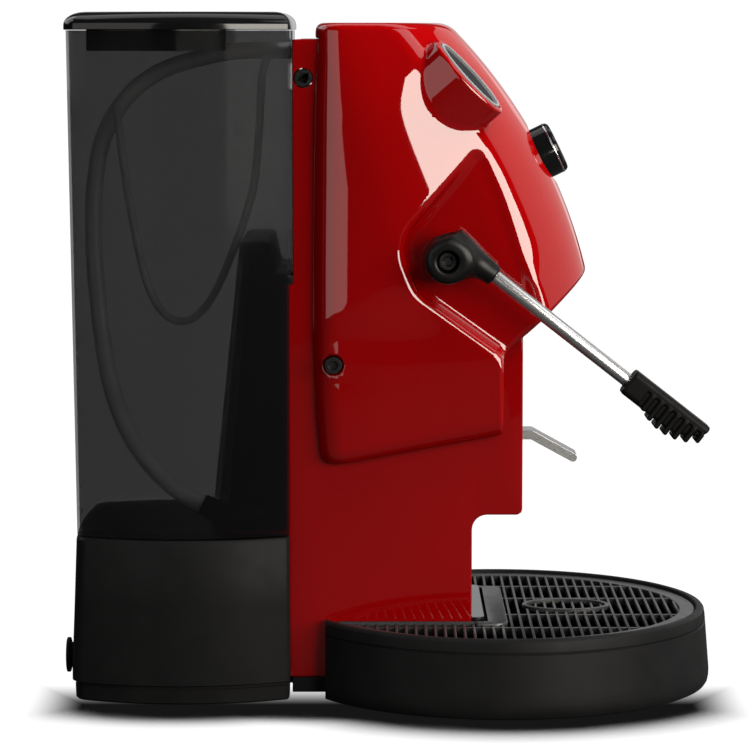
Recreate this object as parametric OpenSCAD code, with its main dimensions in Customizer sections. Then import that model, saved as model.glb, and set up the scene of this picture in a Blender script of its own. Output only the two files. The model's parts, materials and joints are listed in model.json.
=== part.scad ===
// Espresso machine for 44 mm paper pods.
// The front faces +X, the lever is on the -Y side, and Z = 0 is the table.
// The origin is at the middle of the footprint.

/* [Body] */
// Height of the red hood's top above the table
hood_top = 315; // [310:1:320]
// Width of the red column
column_w = 90; // [88:1:92]
// Half width of the hood at its cheeks
hood_half = 58; // [57:0.5:60]
// Wall of the hood
hood_wall = 2.6; // [2:0.1:3]
// Thickness of the column's side panels
panel_t = 3; // [2.5:0.5:3]

/* [Water tank] */
// Height of the tank's floor above the table
tank_z0 = 78.5; // [78:0.5:80]
// Height of the tank's rim
tank_z1 = 311.5; // [309:0.5:312]
// Wall of the tank
tank_wall = 2; // [1.5:0.1:2.5]
// Largest half width of the tank
tank_half = 68; // [66:1:70]

/* [Drip tray] */
// Radius of the tray's rim
tray_r = 98; // [96:0.5:98]
// Distance of the tray's centre in front of the origin
tray_x = 52.3; // [50:0.1:52.3]
// Height of the tray's rim
tray_rim = 37.2; // [37:0.1:39]
// Pitch of the grid's bars
bar_pitch = 4.5; // [4:0.5:6]

/* [Lever] */
// Tilt of the closed lever below the horizontal, in degrees
lever_tilt = 38; // [36:0.1:39]
// Distance from the pivot to the far end of the grip
lever_reach = 142.2; // [138:0.1:143]
// Diameter of the lever's rod
rod_d = 6.6; // [6:0.1:7]

/* [Brewing group] */
// Diameter of the pod that the seat takes
pod_d = 44; // [44:1:45]
// Throw of the cam that drives the piston
cam_throw = 7; // [6:0.5:7]

/* [Hidden] */
$fn = 48;

fit = 0.3;                          // gap between pieces that don't touch
col = column_w / 2;                 // half width of the column
col_in = col - panel_t;             // half width between the side panels
pivot = [25.4, 0, 206.8];           // lever shaft's axis, which lies along Y
group_x = 28;                       // brewing group's axis
pod_top = 119;                      // top face of the pod ring
seat_z = 114.4;                     // top face of the pod holder, which the pod lies on
holder_r = pod_d / 2 + 4;
piston_r = pod_d / 2 + 2;
cam_r = 13.5;
cam_start = -55;                    // direction of the cam's throw with the lever closed
cam_gap = 0.8;
piston_top = pivot[2] - cam_r + cam_throw * sin(cam_start) - cam_gap;
frame_z = 158;                      // underside of the group's guide plate
frame_t = 6;
stem_r = 8;
flange_t = 5;
bush_r = 9;
shaft_r = 6;
screw_r = 4.2;
screw_places = [[-40.9, 289.6], [-58.8, 184.3]];     // panel screws, as X and Z
hood_screw = [-27.1, 157.7];
step_z = 86.4;                      // underside of the column's front overhang
foot_x = 37.5;                      // front of the column below the overhang
front_x = 61;                       // front of the column above it
rear_x = -46;                       // rear of the column above the tank's pocket
deck_z = 77.5;                      // deck that the tank stands on
red = "#b00408";
black = "#1c1c1e";
steel = "#c8c8cc";

// ---------- helpers ----------

// The points of an arc about c, from angle a0 to a1, in n steps.
function arc(c, r, a0, a1, n = 8) =
    [for (i = [0:n]) let (a = a0 + (a1 - a0) * i / n) [c[0] + r * cos(a), c[1] + r * sin(a)]];

function unit(v) = v / norm(v);

// A polygon whose corners [x, y, radius] are rounded with short arcs.
function rounded(corners, n = 5) = [
    for (i = [0:len(corners) - 1])
        let (
            count = len(corners),
            c = corners[i],
            here = [c[0], c[1]],
            before = corners[(i + count - 1) % count],
            after = corners[(i + 1) % count],
            u = unit([before[0], before[1]] - here),
            v = unit([after[0], after[1]] - here),
            half = acos(max(-1, min(1, u * v))) / 2,
            middle = here + unit(u + v) * c[2] / sin(half),
            from = here + u * c[2] / tan(half) - middle,
            turn = 180 - 2 * half,
            side = sign(u[0] * v[1] - u[1] * v[0])
        )
        each (c[2] == 0 ? [here] : [for (k = [0:n])
            let (a = -side * turn * k / n)
            middle + [from[0] * cos(a) - from[1] * sin(a), from[0] * sin(a) + from[1] * cos(a)]])
];

// An outline in X and Z, as a plate from y0 to y1.
module plate(y0, y1, points) {
    translate([0, y1, 0]) rotate([90, 0, 0]) linear_extrude(y1 - y0) polygon(points);
}

// The same piece on both sides of the machine.
module both_sides() {
    children();
    mirror([0, 1, 0]) children();
}

// A round bar along Y, from y0 to y1, at [x, z].
module bar_y(place, r, y0, y1) {
    translate([place[0], y1, place[1]]) rotate([90, 0, 0]) cylinder(r = r, h = y1 - y0);
}

// A solid skin over rings that have the same number of points.
module loft(rings) {
    n = len(rings[0]);
    m = len(rings);
    polyhedron(
        points = [for (r = rings) each r],
        faces = concat(
            [[for (i = [0:n - 1]) i]],
            [[for (i = [n - 1:-1:0]) (m - 1) * n + i]],
            [for (j = [0:m - 2], i = [0:n - 1])
                [j * n + i, (j + 1) * n + i, (j + 1) * n + (i + 1) % n, j * n + (i + 1) % n]]
        ),
        convexity = 6
    );
}

// A round tube of radius r swept along a line of points.
module tube(line, r, sides = 8) {
    last = len(line) - 1;
    loft([for (i = [0:last])
        let (
            d = unit(line[min(i + 1, last)] - line[max(i - 1, 0)]),
            a = unit(cross(d, abs(d[1]) < 0.9 ? [0, 1, 0] : [1, 0, 0])),
            b = cross(d, a)
        )
        [for (k = [0:sides - 1]) line[i] + r * (a * cos(360 * k / sides) + b * sin(360 * k / sides))]]);
}

// A smooth line through hand-placed points (Catmull-Rom), with n steps between each pair.
function smooth(p, n) = concat([for (i = [0:len(p) - 2], k = [0:n - 1])
    let (
        a = p[max(i - 1, 0)], b = p[i], c = p[i + 1], d = p[min(i + 2, len(p) - 1)],
        t = k / n
    )
    0.5 * (2 * b + (c - a) * t + (2 * a - 5 * b + 4 * c - d) * t * t + (3 * b - a - 3 * c + d) * t * t * t)],
    [p[len(p) - 1]]);

// ---------- column ----------

column_outline = rounded([
    [-79, 60, 0], [-65.5, 208.5, 2], [-60.5, 208.5, 2], [-56, 194, 2], [rear_x, 194, 1.5],
    [rear_x, 307.5, 3], [3, 307.5, 6], [22, 284, 10], [45, 243, 6], [46, 188, 4], [52.2, 182, 2],
    [52.2, 164.9, 0], [front_x, 171.6, 0.8], [front_x, step_z, 3], [foot_x, step_z, 7],
    [foot_x, 9.6, 0], [-83.5, 9.6, 0]]);

module side_panel() {
    color(red) difference() {
        plate(-col, -col_in, column_outline);
        bar_y([pivot[0], pivot[2]], bush_r + 0.05, -col - 1, -col_in + 1);
        for (s = screw_places) bar_y(s, screw_r + 0.15, -col - 1, -col_in + 1);
        bar_y(hood_screw, 2.2, -col - 1, -col_in + 1);
    }
}

// Closes the column at its back and top, between the side panels.
cover_t = 1.6;
module rear_cover() {
    line = [[-83.3, 9.8], [-78.8, 60], [-65, 207.3], [-61.4, 207.3], [-57, 193], [rear_x + 0.2, 193],
        [rear_x + 0.2, 307.3], [2, 307.3]];
    inside = [[2, 307.3 - cover_t], [rear_x + 0.2 + cover_t, 307.3 - cover_t],
        [rear_x + 0.2 + cover_t, 193 - cover_t], [-58.8, 193 - cover_t],
        [-63.2, 204.4], [-76.3, 59.8], [-80.8, 9.8]];
    color(red) difference() {
        plate(-col_in + 0.05, col_in - 0.05, concat(line, inside));
        translate([-48, -hose_gap_y1 - 0.1, hose_z - 5.1]) cube([8, hose_gap_y1 - hose_gap_y0 + 0.2, 10.2]);
    }
}

// Black foot of the column, with the shelf that a cup can reach over.
module front_cover() {
    shelf = 38;
    back_x = 18;
    color(black) {
        difference() {
            translate([0, 0, 9.8]) linear_extrude(shelf - 9.8) polygon(rounded([
                [foot_x + 0.1, -col, 0], [foot_x + 6, -col, 4],
                [foot_x + 6, col, 4], [foot_x + 0.1, col, 0]]));
            translate([foot_x - 3, -col_in - 0.2, 9]) cube([6, 2 * col_in + 0.4, shelf - 9 - 2.5]);
        }
        translate([back_x, -col_in + 0.2, shelf - 2.5]) cube([foot_x + 0.2 - back_x, 2 * col_in - 0.4, 2.5]);
        difference() {
            translate([back_x - 2.5, -col_in + 0.2, 9.8]) cube([2.6, 2 * col_in - 0.4, step_z - 14]);
            for (y = [-24:12:24]) translate([back_x - 4, y - 1.5, 54]) cube([6, 3, 14]);
        }
    }
}

module spacer_bars() {
    color(steel) for (s = concat(screw_places, [hood_screw])) difference() {
        bar_y(s, 3.2, -col_in, col_in);
        bar_y(s, 2.05, -col_in - 1, col_in + 1);
    }
}

// A socket screw whose head ends at y, pointing along +Y.
module socket_screw(place, y, head_r, head_h, shank) {
    difference() {
        union() {
            bar_y(place, head_r, y, y + head_h);
            bar_y(place, 1.95, y, y + head_h + shank);
        }
        translate([place[0], y + 1.8, place[1]]) rotate([90, 0, 0]) cylinder(r = 2.3, h = 3, $fn = 6);
    }
}

module panel_screws() {
    color(black) both_sides() for (s = screw_places) socket_screw(s, -col, screw_r, 2.9, 9);
}

module hood_screws() {
    color(black) both_sides() socket_screw(hood_screw, -hood_half + 1.4, screw_r - 0.2, 2.4, 20);
}

// ---------- base ----------

module base_plate() {
    color(black) {
        translate([0, 0, 6.6]) linear_extrude(3) polygon([
            [-140, -46], [-96, -60], [-60, -52], [-60, -44], [foot_x - 0.5, -44],
            [foot_x - 0.5, 44], [-60, 44], [-60, 52], [-96, 60], [-140, 46]]);
        both_sides() translate([-46.5, -45.5, 2.5]) cube([foot_x + 45.5, 2.5, 7]);
    }
}

module rubber_feet() {
    color("#101010") for (p = [[-128, 42], [24, 33]]) both_sides()
        translate([p[0], p[1], 0]) union() {
            cylinder(r = 6.5, h = 1.5);
            translate([0, 0, 1.5]) cylinder(r = 7.5, h = 5.1);
        }
}

// Plan of the tank and its housing: bowed cheeks, flat front, gently bowed back.
function barrel_plan(x0, x1, half, bow = 12, r = 9) =
    let (
        length = x1 - x0,
        middle = (x0 + x1) / 2,
        cheek = [for (i = [-4:4]) let (u = i / 4) [middle + u * length / 2, half - bow * u * u]],
        back = [for (i = [-1:1]) [x0 - 2.5 * (1 - i * i), -i * half * 0.45]]
    )
    rounded(concat(
        [for (i = [0:8]) [cheek[i][0], -cheek[i][1], i == 0 || i == 8 ? r : 30]],
        [for (i = [8:-1:0]) [cheek[i][0], cheek[i][1], i == 0 || i == 8 ? r : 30]],
        [[x0 - 2, half * 0.4, 60], [x0 - 2, -half * 0.4, 60]]), 3);

function at_z(points, z) = [for (p = points) [p[0], p[1], z]];

notch_half = col + 0.6;             // the column's fin stands in this notch

module rear_housing() {
    bottom = barrel_plan(-147.5, -47.5, 69, 12, 9);
    flare = barrel_plan(-148.8, -47.3, 70, 12, 9);
    top = barrel_plan(-146.4, -47.6, 68, 12, 9);
    bottom_in = barrel_plan(-146, -50, 66.5, 12, 7);
    top_in = barrel_plan(-143.8, -50, 65.5, 12, 7);
    color(black) difference() {
        loft([at_z(bottom, 3), at_z(flare, 12), at_z(flare, 16), at_z(top, deck_z)]);
        loft([at_z(bottom_in, 2), at_z(top_in, deck_z - 2.5)]);
        translate([-85.5, -notch_half, 0]) cube([60, 2 * notch_half, 100]);
        translate([-156, 20, 25]) cube([14, 21.4, 15.4]);
        translate([-160, -38, 19]) rotate([0, 90, 0]) cylinder(r = 6.2, h = 20);
    }
}

module switch_frame() {
    color("#101010") difference() {
        union() {
            translate([-152.4, 18.2, 23.2]) cube([1.6, 25, 19]);
            translate([-151, 20.2, 25.2]) cube([9, 21, 15]);
        }
        translate([-153, 22.2, 27.2]) cube([14, 17, 11]);
    }
}

// Stands tilted to its off side.
rocker_axis = [-148, 32.7];
rocker_tilt = 7;
module power_rocker() {
    color("#202022") translate([rocker_axis[0], 0, rocker_axis[1]]) rotate([0, rocker_tilt, 0])
        plate(22.6, 38.8, rounded([[-3.4, -4.9, 0.5], [-2.6, 0, 0], [-3.4, 4.9, 0.5], [3.5, 3, 1], [3.5, -3, 1]]));
}

module cable_gland() {
    color("#101010") translate([-152.8, -38, 19]) rotate([0, 90, 0]) difference() {
        union() {
            cylinder(r = 8.2, h = 1.9);
            translate([0, 0, 1.9]) cylinder(r = 6, h = 9);
        }
        translate([0, 0, -1]) cylinder(r = 3.6, h = 15);
    }
}

// ---------- tank ----------

pocket_in = rounded([[-83, 70, 0], [-68, 212, 2], [-58.6, 212, 2], [-54.8, 197.5, 2],
    [-40, 197.5, 0], [-40, 70, 0]]);
pocket_out = rounded([[-85.2, 70, 0], [-70.2, 214.5, 2], [-57, 214.5, 2], [-53.3, 199.7, 2], [-40, 199.7, 0],
    [-40, 70, 0]]);

module tank_skin(inset, z0, z1) {
    loft([
        at_z(barrel_plan(-146.2 + inset, -47.6 - inset, tank_half - 0.7 - inset, 12, 9 - inset), z0),
        at_z(barrel_plan(-149.3 + inset, -47 - inset, tank_half - inset, 12, 9 - inset), z1)]);
}

module water_tank() {
    color("#3a3a3e") difference() {
        union() {
            difference() {
                tank_skin(0, tank_z0, tank_z1);
                tank_skin(tank_wall, tank_z0 + 2.5, tank_z1 + 1);
            }
            intersection() {
                tank_skin(0.4, tank_z0, tank_z1);
                plate(-notch_half - 3.2, notch_half + 3.2, pocket_out);
            }
        }
        plate(-notch_half - 1, notch_half + 1, pocket_in);
        translate([-52, -hose_gap_y1, hose_z - 6]) cube([8, hose_gap_y1 - hose_gap_y0, 20]);
    }
}

module tank_lid() {
    color(black) {
        difference() {
            union() {
                loft([
                    at_z(barrel_plan(-150, -46.6, tank_half + 0.6, 12, 9), tank_z1 + 0.2),
                    at_z(barrel_plan(-150, -46.6, tank_half + 0.6, 12, 9), tank_z1 + 2.2),
                    at_z(barrel_plan(-148, -48.2, tank_half - 1.4, 12, 8), tank_z1 + 3.2),
                    at_z(barrel_plan(-145.6, -50.5, tank_half - 3.8, 12, 7), tank_z1 + 6.6),
                    at_z(barrel_plan(-141, -54.5, tank_half - 8.5, 12, 6), tank_z1 + 8.5)]);
                loft([
                    at_z(barrel_plan(-140.5, -76, tank_half - 9, 9, 5), tank_z1 - 9.4),
                    at_z(barrel_plan(-140.5, -76, tank_half - 9, 9, 5), tank_z1 + 1)]);
            }
            loft([
                at_z(barrel_plan(-138.5, -78, tank_half - 11, 9, 4), tank_z1 - 10),
                at_z(barrel_plan(-138.5, -78, tank_half - 11, 9, 4), tank_z1 + 4)]);
            translate([-84, -hose_gap_y1, 290]) cube([12, hose_gap_y1 - hose_gap_y0, tank_z1 - 290.2]);
        }
    }
}

// Hoses hang in the tank: hand-placed points from the fitting to the far end.
hose_r = 4;
thin_r = 1.9;
hose_z = 302;
hose_gap_y0 = -6;
hose_gap_y1 = 24;
hose_route = [[-46.6, 0, 302], [-54, 0, 302], [-64, 0, 302], [-76, -1, 301.3], [-88, -3, 299],
    [-101, -6, 295.5], [-113, -9, 290], [-123, -12, 282], [-131, -15, 271], [-136.5, -17, 258],
    [-139, -19, 243], [-140, -22, 226], [-139.5, -25, 208], [-138, -28, 190], [-136, -31, 172],
    [-133, -35, 154], [-128.5, -39, 138], [-122, -44, 124], [-113.5, -48.5, 112], [-104, -52, 102.5],
    [-95, -53.6, 96.5], [-88, -54, 93]];
thin_route = [[-46.6, -16, 303], [-50, -16, 303], [-53.5, -16, 303], [-57.5, -16.2, 300], [-60, -16.6, 294],
    [-61.2, -17, 284], [-62, -18, 270], [-63, -19, 254], [-65, -20, 238], [-69.5, -21, 222],
    [-75.5, -22, 206], [-81.5, -23, 192], [-88.5, -24, 181], [-97, -25, 175.5], [-105.5, -26, 178],
    [-112, -26.5, 187], [-117, -27, 202], [-121, -27, 222], [-124.5, -27, 244], [-127, -26, 262],
    [-128.5, -26, 276]];

module intake_hose() { color("#c8ccd0") tube(smooth(hose_route, 2), hose_r, 10); }
module return_hose() { color("#c8ccd0") tube(smooth(thin_route, 2), thin_r, 8); }

// Barrel from one point to another.
module rod(a, b, r0, r1) {
    d = b - a;
    translate(a) rotate([0, acos(d[2] / norm(d)), atan2(d[1], d[0])]) cylinder(r1 = r0, r2 = r1, h = norm(d));
}

hose_end = hose_route[len(hose_route) - 1];
hose_dir = unit(hose_end - smooth(hose_route, 2)[2 * len(hose_route) - 3]);
filter_x = -79;
filter_at = [filter_x, -54.1, 88.2];
module hose_elbow() {
    color("#111111") difference() {
        rod(hose_end + 0.1 * hose_dir, hose_end + 14 * hose_dir, 5, 5);
        translate([filter_x, -70, 70]) cube([20, 40, 40]);
    }
}
module intake_filter() {
    color("#111111") translate(filter_at + [0.1, 0, 0]) rotate([0, 90, 0]) union() {
        cylinder(r = 4.8, h = 16);
        translate([0, 0, 15]) cylinder(r = 3, h = 5);
    }
}

module hose_fitting() {
    depth = 5;
    color("#111111") difference() {
        translate([-46.5, -hose_gap_y1, hose_z - 5]) cube([depth, hose_gap_y1 - hose_gap_y0, 10]);
        for (h = [[hose_route[0], 2.4], [thin_route[0], 1]])
            translate([-48, h[0][1], h[0][2]]) rotate([0, 90, 0]) cylinder(r = h[1], h = 10);
    }
}

// ---------- hood ----------

nose = [92.4, 199];
brow = [30, 311.5];
face_r = 245;
// The face in profile is one arc from the brow to the nose.
face_chord = nose - brow;
face_mid = (nose + brow) / 2;
face_in = unit([face_chord[1], -face_chord[0]]);
face_c = face_mid + face_in * sqrt(face_r * face_r - pow(norm(face_chord) / 2, 2));
function face_x(z) = z < nose[1] ? nose[0]
    : z < brow[1] ? face_c[0] + sqrt(face_r * face_r - pow(z - face_c[1], 2))
    : brow[0] - (z - brow[1]) * 2;

hood_back = -37;
face_bow = 0.0111;                  // the face in plan is a parabola that falls back by this times Y squared
face_half = 50;
// Half of the hood's plan: its back corner, its side, a rounded cheek and the bowed face.
function hood_half_plan(front, half) =
    let (
        edge = half - hood_half + face_half,
        turn = [front - face_bow * edge * edge, edge],
        corner = [turn[0] - 2 * face_bow * edge * (half - edge), half],
        side = [max(front - 50, -19), half]
    )
    concat(
        [[hood_back, half - 10.5], [-34.2, half - 7.6], [-31, half - 4.6], [-26, half - 1.8], [-21, half - 0.3]],
        [for (i = [0:4]) let (t = i / 4) side * (1 - t) * (1 - t) + corner * 2 * t * (1 - t) + turn * t * t],
        [for (i = [1:8]) let (y = edge * (1 - i / 8)) [front - face_bow * y * y, y]]);
function hood_plan(front, half) =
    let (h = hood_half_plan(front, half))
    concat([for (p = h) [p[0], -p[1]]], [for (i = [len(h) - 2:-1:0]) h[i]]);

module hood_skin(inset, z0, top) {
    levels = [z0, 150, 180, nose[1], 212, 225, 238, 251, 264, 277, 289, 300, brow[1] - 4];
    loft(concat(
        [for (z = levels) at_z(hood_plan(face_x(z) - inset, hood_half - inset), z)],
        [at_z(hood_plan(face_x(brow[1]) - inset - 1, hood_half - inset - 1), top - 2.2),
         at_z(hood_plan(face_x(hood_top) - inset, hood_half - inset - 4), top)]));
}

hood_outline = rounded([
    [-35, 320, 0], [-36.8, 230, 40], [-37.3, 160, 40], [-35.4, 123, 20], [-30, 109.5, 5],
    [51.7, 124.9, 3], [51.7, 161.4, 4], [nose[0] + 0.6, nose[1] - 1.5, 3], [110, 320, 0]]);
pocket = rounded([[41, 258, 4], [50.5, 236, 60], [59, 208, 60], [72, 182, 0], [60, 150, 0], [49, 164.5, 0],
    [12, 191, 16], [3, 214, 18]]);
pocket_back = rounded([[41, 264, 6], [54, 236, 60], [62.6, 208, 60], [75, 180, 0], [60, 145, 0], [40, 164, 0],
    [8, 188, 16], [-1.5, 215, 18]]);
pocket_floor = col + 3;

eye_at = [36.2, -44.5, 291];
eye_long = 19.5;
eye_short = 10;
function oval(a, b) = [for (t = [0:15:345]) [a * cos(t), b * sin(t)]];
// Places a child in the right eye's frame: Z leaves the eye, X runs down the brow.
module at_eye() {
    translate(eye_at) rotate([0, 47.6, 0]) rotate([14, 0, 0]) children();
}

button_at = [face_x(253.5), 0, 253.5];
button_tilt = 26;
// Places a child on the button's axis, with Z leaving the face.
module at_button() {
    translate(button_at) rotate([0, 90 - button_tilt, 0]) children();
}

module hood() {
    color(red) difference() {
        intersection() {
            union() {
                hood_skin(0, 105, hood_top);
                both_sides() at_eye() translate([0, 0, -22]) linear_extrude(22) polygon(oval(22, 13));
            }
            plate(-80, 80, hood_outline);
        }
        both_sides() plate(-90, -pocket_floor, pocket);
        difference() {
            intersection() {
                hood_skin(hood_wall, 104, hood_top - hood_wall);
                translate([-34.4, -90, 90]) cube([200, 180, 240]);
            }
            both_sides() plate(-90, -col - fit, pocket_back);
            both_sides() bar_y(hood_screw, 6, -90, -col - fit);
        }
        translate([-60, -col - fit, 100]) cube([65, 2 * (col + fit), 307.8 - 100]);
        both_sides() at_eye() translate([0, 0, -3.2]) linear_extrude(10)
            polygon(oval(eye_long + 0.15, eye_short + 0.15));
        at_button() translate([0, 0, -20]) cylinder(r = 13, h = 40);
        both_sides() bar_y([pivot[0], pivot[2]], bush_r + 0.3, -90, -col + 2);
        both_sides() bar_y(hood_screw, screw_r, -90, -hood_half + 4);
        both_sides() bar_y(hood_screw, 2.2, -90, -col + 1);
    }
}

module eye_bezels() {
    color(steel) both_sides() at_eye() translate([0, 0, -3.1]) difference() {
        linear_extrude(3.5) polygon(oval(eye_long, eye_short));
        translate([0, 0, -1]) linear_extrude(6) polygon(oval(eye_long - 2.6, eye_short - 2.6));
    }
}

module eye_lenses() {
    color("#6a7076") both_sides() at_eye() translate([0, 0, -3.1]) linear_extrude(2.2)
        polygon(oval(eye_long - 2.75, eye_short - 2.75));
}

module button_guide() {
    color("#202022") at_button() translate([0, 0, -17]) difference() {
        cylinder(r = 16, h = 10.5);
        translate([0, 0, -1]) cylinder(r = 12.58, h = 20);
    }
}

module brew_button() {
    color(black) at_button() union() {
        translate([0, 0, -12]) cylinder(r = 12.5, h = 19);
        translate([0, 0, 7]) cylinder(r1 = 12.5, r2 = 11.3, h = 1.6);
        translate([0, 0, -15]) cylinder(r = 3, h = 3);
    }
}

module brew_switch() {
    color("#303034") at_button() translate([0, 0, -26]) union() {
        translate([-6, -10, 0]) cube([12, 20, 7]);
        translate([0, 0, 6]) cylinder(r = 2, h = 1.6);
    }
}

// ---------- brewing group ----------

module group_frame() {
    color("#a8a8ac") difference() {
        translate([-6, -col_in + fit, frame_z]) cube([56, 2 * col_in - 2 * fit, frame_t]);
        translate([group_x, 0, frame_z - 1]) cylinder(r = stem_r + 0.08, h = frame_t + 2);
    }
}

module shaft_bushes() {
    color("#b98a4a") both_sides() difference() {
        union() {
            bar_y([pivot[0], pivot[2]], bush_r, -col, -col_in);
            bar_y([pivot[0], pivot[2]], bush_r + 2, -col_in, -col_in + 2);
        }
        bar_y([pivot[0], pivot[2]], shaft_r + 0.06, -col - 1, -col_in + 3);
    }
}

module shaft_cap() {
    color(black) bar_y([pivot[0], pivot[2]], bush_r + 2.5, pocket_floor + 0.1, pocket_floor + 4);
}

module lever_shaft() {
    color(steel) bar_y([pivot[0], pivot[2]], shaft_r, -62, col + 2.4);
}

module lever_cam() {
    throw = cam_throw * [cos(cam_start), sin(cam_start)];
    color(steel) difference() {
        bar_y([pivot[0] + throw[0], pivot[2] + throw[1]], cam_r, -7, 7);
        bar_y([pivot[0], pivot[2]], shaft_r + 0.02, -8, 8);
    }
}

module piston() {
    color("#b8b8bc") union() {
        translate([group_x, 0, pod_top + 2.6]) cylinder(r = piston_r, h = 23);
        translate([group_x, 0, pod_top + 25]) cylinder(r = stem_r, h = piston_top - pod_top - 25);
        translate([group_x, 0, piston_top - flange_t]) cylinder(r = 14, h = flange_t);
    }
}

module shower_screen() {
    color(steel) translate([group_x, 0, pod_top + 0.9]) difference() {
        cylinder(r = piston_r - 3.2, h = 1.7);
        for (k = [1, 2], a = [0:60 / k:359]) rotate(a) translate([7 * k, 0, -1]) cylinder(r = 0.9, h = 4, $fn = 16);
    }
}

module piston_gasket() {
    color("#8a2a22") translate([group_x, 0, pod_top + 0.4]) difference() {
        cylinder(r = piston_r, h = 2.2);
        translate([0, 0, -1]) cylinder(r = piston_r - 3, h = 5);
    }
}

spring_z0 = frame_z + frame_t;
spring_turns = 4;
module return_spring() {
    wire = 0.9;
    height = piston_top - flange_t - spring_z0 - 2 * wire;
    line = [for (i = [0:spring_turns * 14]) let (a = 360 * i / 14)
        [group_x + 10.6 * cos(a), 10.6 * sin(a), spring_z0 + wire + 0.05 + (height - 0.1) * i / (spring_turns * 14)]];
    color(steel) tube(line, wire, 6);
}

tongue_pivot = [57.2, 113.6];
module pod_holder() {
    color("#9a9a9e") difference() {
        union() {
            translate([group_x, 0, 100]) cylinder(r = holder_r, h = seat_z - 100);
            translate([group_x, 0, 94]) cylinder(r = 14, h = 7);
            translate([42, -14, 104]) cube([18, 28, 12.5]);
        }
        translate([group_x, 0, seat_z]) cylinder(r = pod_d / 2 + 0.5, h = 10);
        translate([group_x, 0, 90]) cylinder(r = 2.5, h = 40);
        translate([38, -9.6, 109.6]) cube([40, 19.2, 20]);
        bar_y(tongue_pivot, 1.5, -20, 20);
    }
}

// Ring around the pod, open at the front where the arm and the tongue pass.
module pod_ring() {
    color("#9a9a9e") difference() {
        translate([group_x, 0, seat_z]) cylinder(r = holder_r, h = pod_top - seat_z);
        translate([group_x, 0, seat_z - 1]) cylinder(r = pod_d / 2 + 0.5, h = 10);
        translate([38, -14, seat_z - 1]) cube([40, 28, 10]);
    }
}

module tongue_pin() { color(steel) bar_y(tongue_pivot, 1.48, -13.6, 13.6); }

// Steel tab: pressing its front end down lifts the spent pod's edge.
tab = rounded([[67.6, 121.6, 2], [89, 109.8, 1.2], [88, 106.4, 1.6], [86, 106.8, 1],
    [66.6, 117.4, 2], [61, 117.4, 0], [60.4, 111.9, 1.5], [55, 111.9, 1.2], [54, 114.6, 0],
    [41, 114.6, 0], [41, 115.8, 0], [55.4, 115.8, 0.5], [57, 121.6, 1]], 3);
module pod_tongue() {
    color(steel) difference() {
        plate(-9, 9, tab);
        plate(-7.6, 7.6, [[64, 120.1], [67.2, 120.1], [85, 109.2], [84, 100], [64, 100]]);
        bar_y(tongue_pivot, 1.54, -20, 20);
    }
}

module coffee_spout() {
    color(black) difference() {
        union() {
            translate([group_x, 0, 89]) cylinder(r = 10, h = 4.9);
            translate([group_x, -6.5, 89]) cube([24, 13, 4.9]);
            translate([group_x + 24, 0, 87]) cylinder(r = 6.5, h = 6.9);
        }
        translate([group_x + 24, 0, 86]) cylinder(r = 3, h = 6);
        translate([group_x, -2, 91]) cube([24, 4, 4]);
        translate([group_x, 0, 91]) cylinder(r = 2.5, h = 4);
    }
}

// Holds the pod holder between the side panels.
module holder_bracket() {
    color("#808084") difference() {
        translate([-4, -col_in + fit, 101]) cube([48, 2 * col_in - 2 * fit, 2.5]);
        translate([group_x, 0, 90]) cylinder(r = holder_r + 0.1, h = 40);
        translate([41, -14.2, 90]) cube([20, 28.4, 40]);
    }
}

// Cover in front of the guide plate and the spring.
module group_cover() {
    color(black) difference() {
        union() {
            translate([front_x - 4.5, -col_in + fit, 139]) cube([2.5, 2 * col_in - 2 * fit, 30]);
            translate([50.4, -col_in + fit, 139]) cube([front_x - 54, 2 * col_in - 2 * fit, 2.5]);
        }
        translate([group_x, 0, 130]) cylinder(r = piston_r + 2, h = 20);
    }
}

// Cover in front of the pod holder and the spout's channel.
module spout_cover() {
    color(black) difference() {
        union() {
            translate([front_x - 2.3, -col_in + fit, step_z + 0.6]) cube([2, 2 * col_in - 2 * fit, 17]);
            translate([foot_x + 2, -col_in + fit, step_z + 0.6]) cube([front_x - foot_x - 4, 2 * col_in - 2 * fit, 2]);
        }
        translate([group_x + 24, 0, 80]) cylinder(r = 6.8, h = 12);
        translate([group_x, -6.8, 80]) cube([24, 13.6, 12]);
    }
}

module boiler() {
    color("#b0b0b4") difference() {
        union() {
            translate([-20, 0, 226]) cylinder(r = 21, h = 50);
            translate([-20, 0, 222]) cylinder(r = 23, h = 4.2);
            translate([-20, 0, 275.8]) cylinder(r = 23, h = 4.2);
        }
        translate([-20, 0, 229]) cylinder(r = 17, h = 44);
    }
}

module boiler_thermostats() {
    color("#d8d0c0") for (y = [-10, 10]) translate([-20, y, 280.05]) union() {
        cylinder(r = 7, h = 5);
        translate([0, 0, 5]) cylinder(r = 3, h = 4);
    }
}

module pump() {
    color("#c0b8a0") translate([-142, 0, 40]) rotate([0, 90, 0]) union() {
        cylinder(r = 6, h = 12);
        translate([0, 0, 10]) cylinder(r = 17, h = 30);
        translate([0, 0, 38]) cylinder(r = 12, h = 18);
    }
    color("#2a2a2e") translate([-125.8, -21, 20.5]) cube([19.6, 42, 3.4]);
}

module pump_cradle() {
    color("#202020") for (x = [-131, -106]) difference() {
        translate([x, -20, 9.65]) cube([5, 40, 22]);
        translate([x - 1, 0, 40]) rotate([0, 90, 0]) cylinder(r = 17.1, h = 8);
    }
}

module control_board() {
    color("#1f6a3a") translate([-66, -32, 60]) cube([1.6, 64, 80]);
    color("#303034") {
        translate([-64.4, -24, 70]) cube([16, 20, 18]);
        translate([-64.4, 4, 74]) cube([12, 18, 26]);
        translate([-64.4, -20, 108]) cube([9, 34, 12]);
    }
}

// ---------- lever ----------

hub_y = -65;                        // the rod's plane
rod_rise = 7.6;                     // the rod passes this far above the pivot
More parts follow.
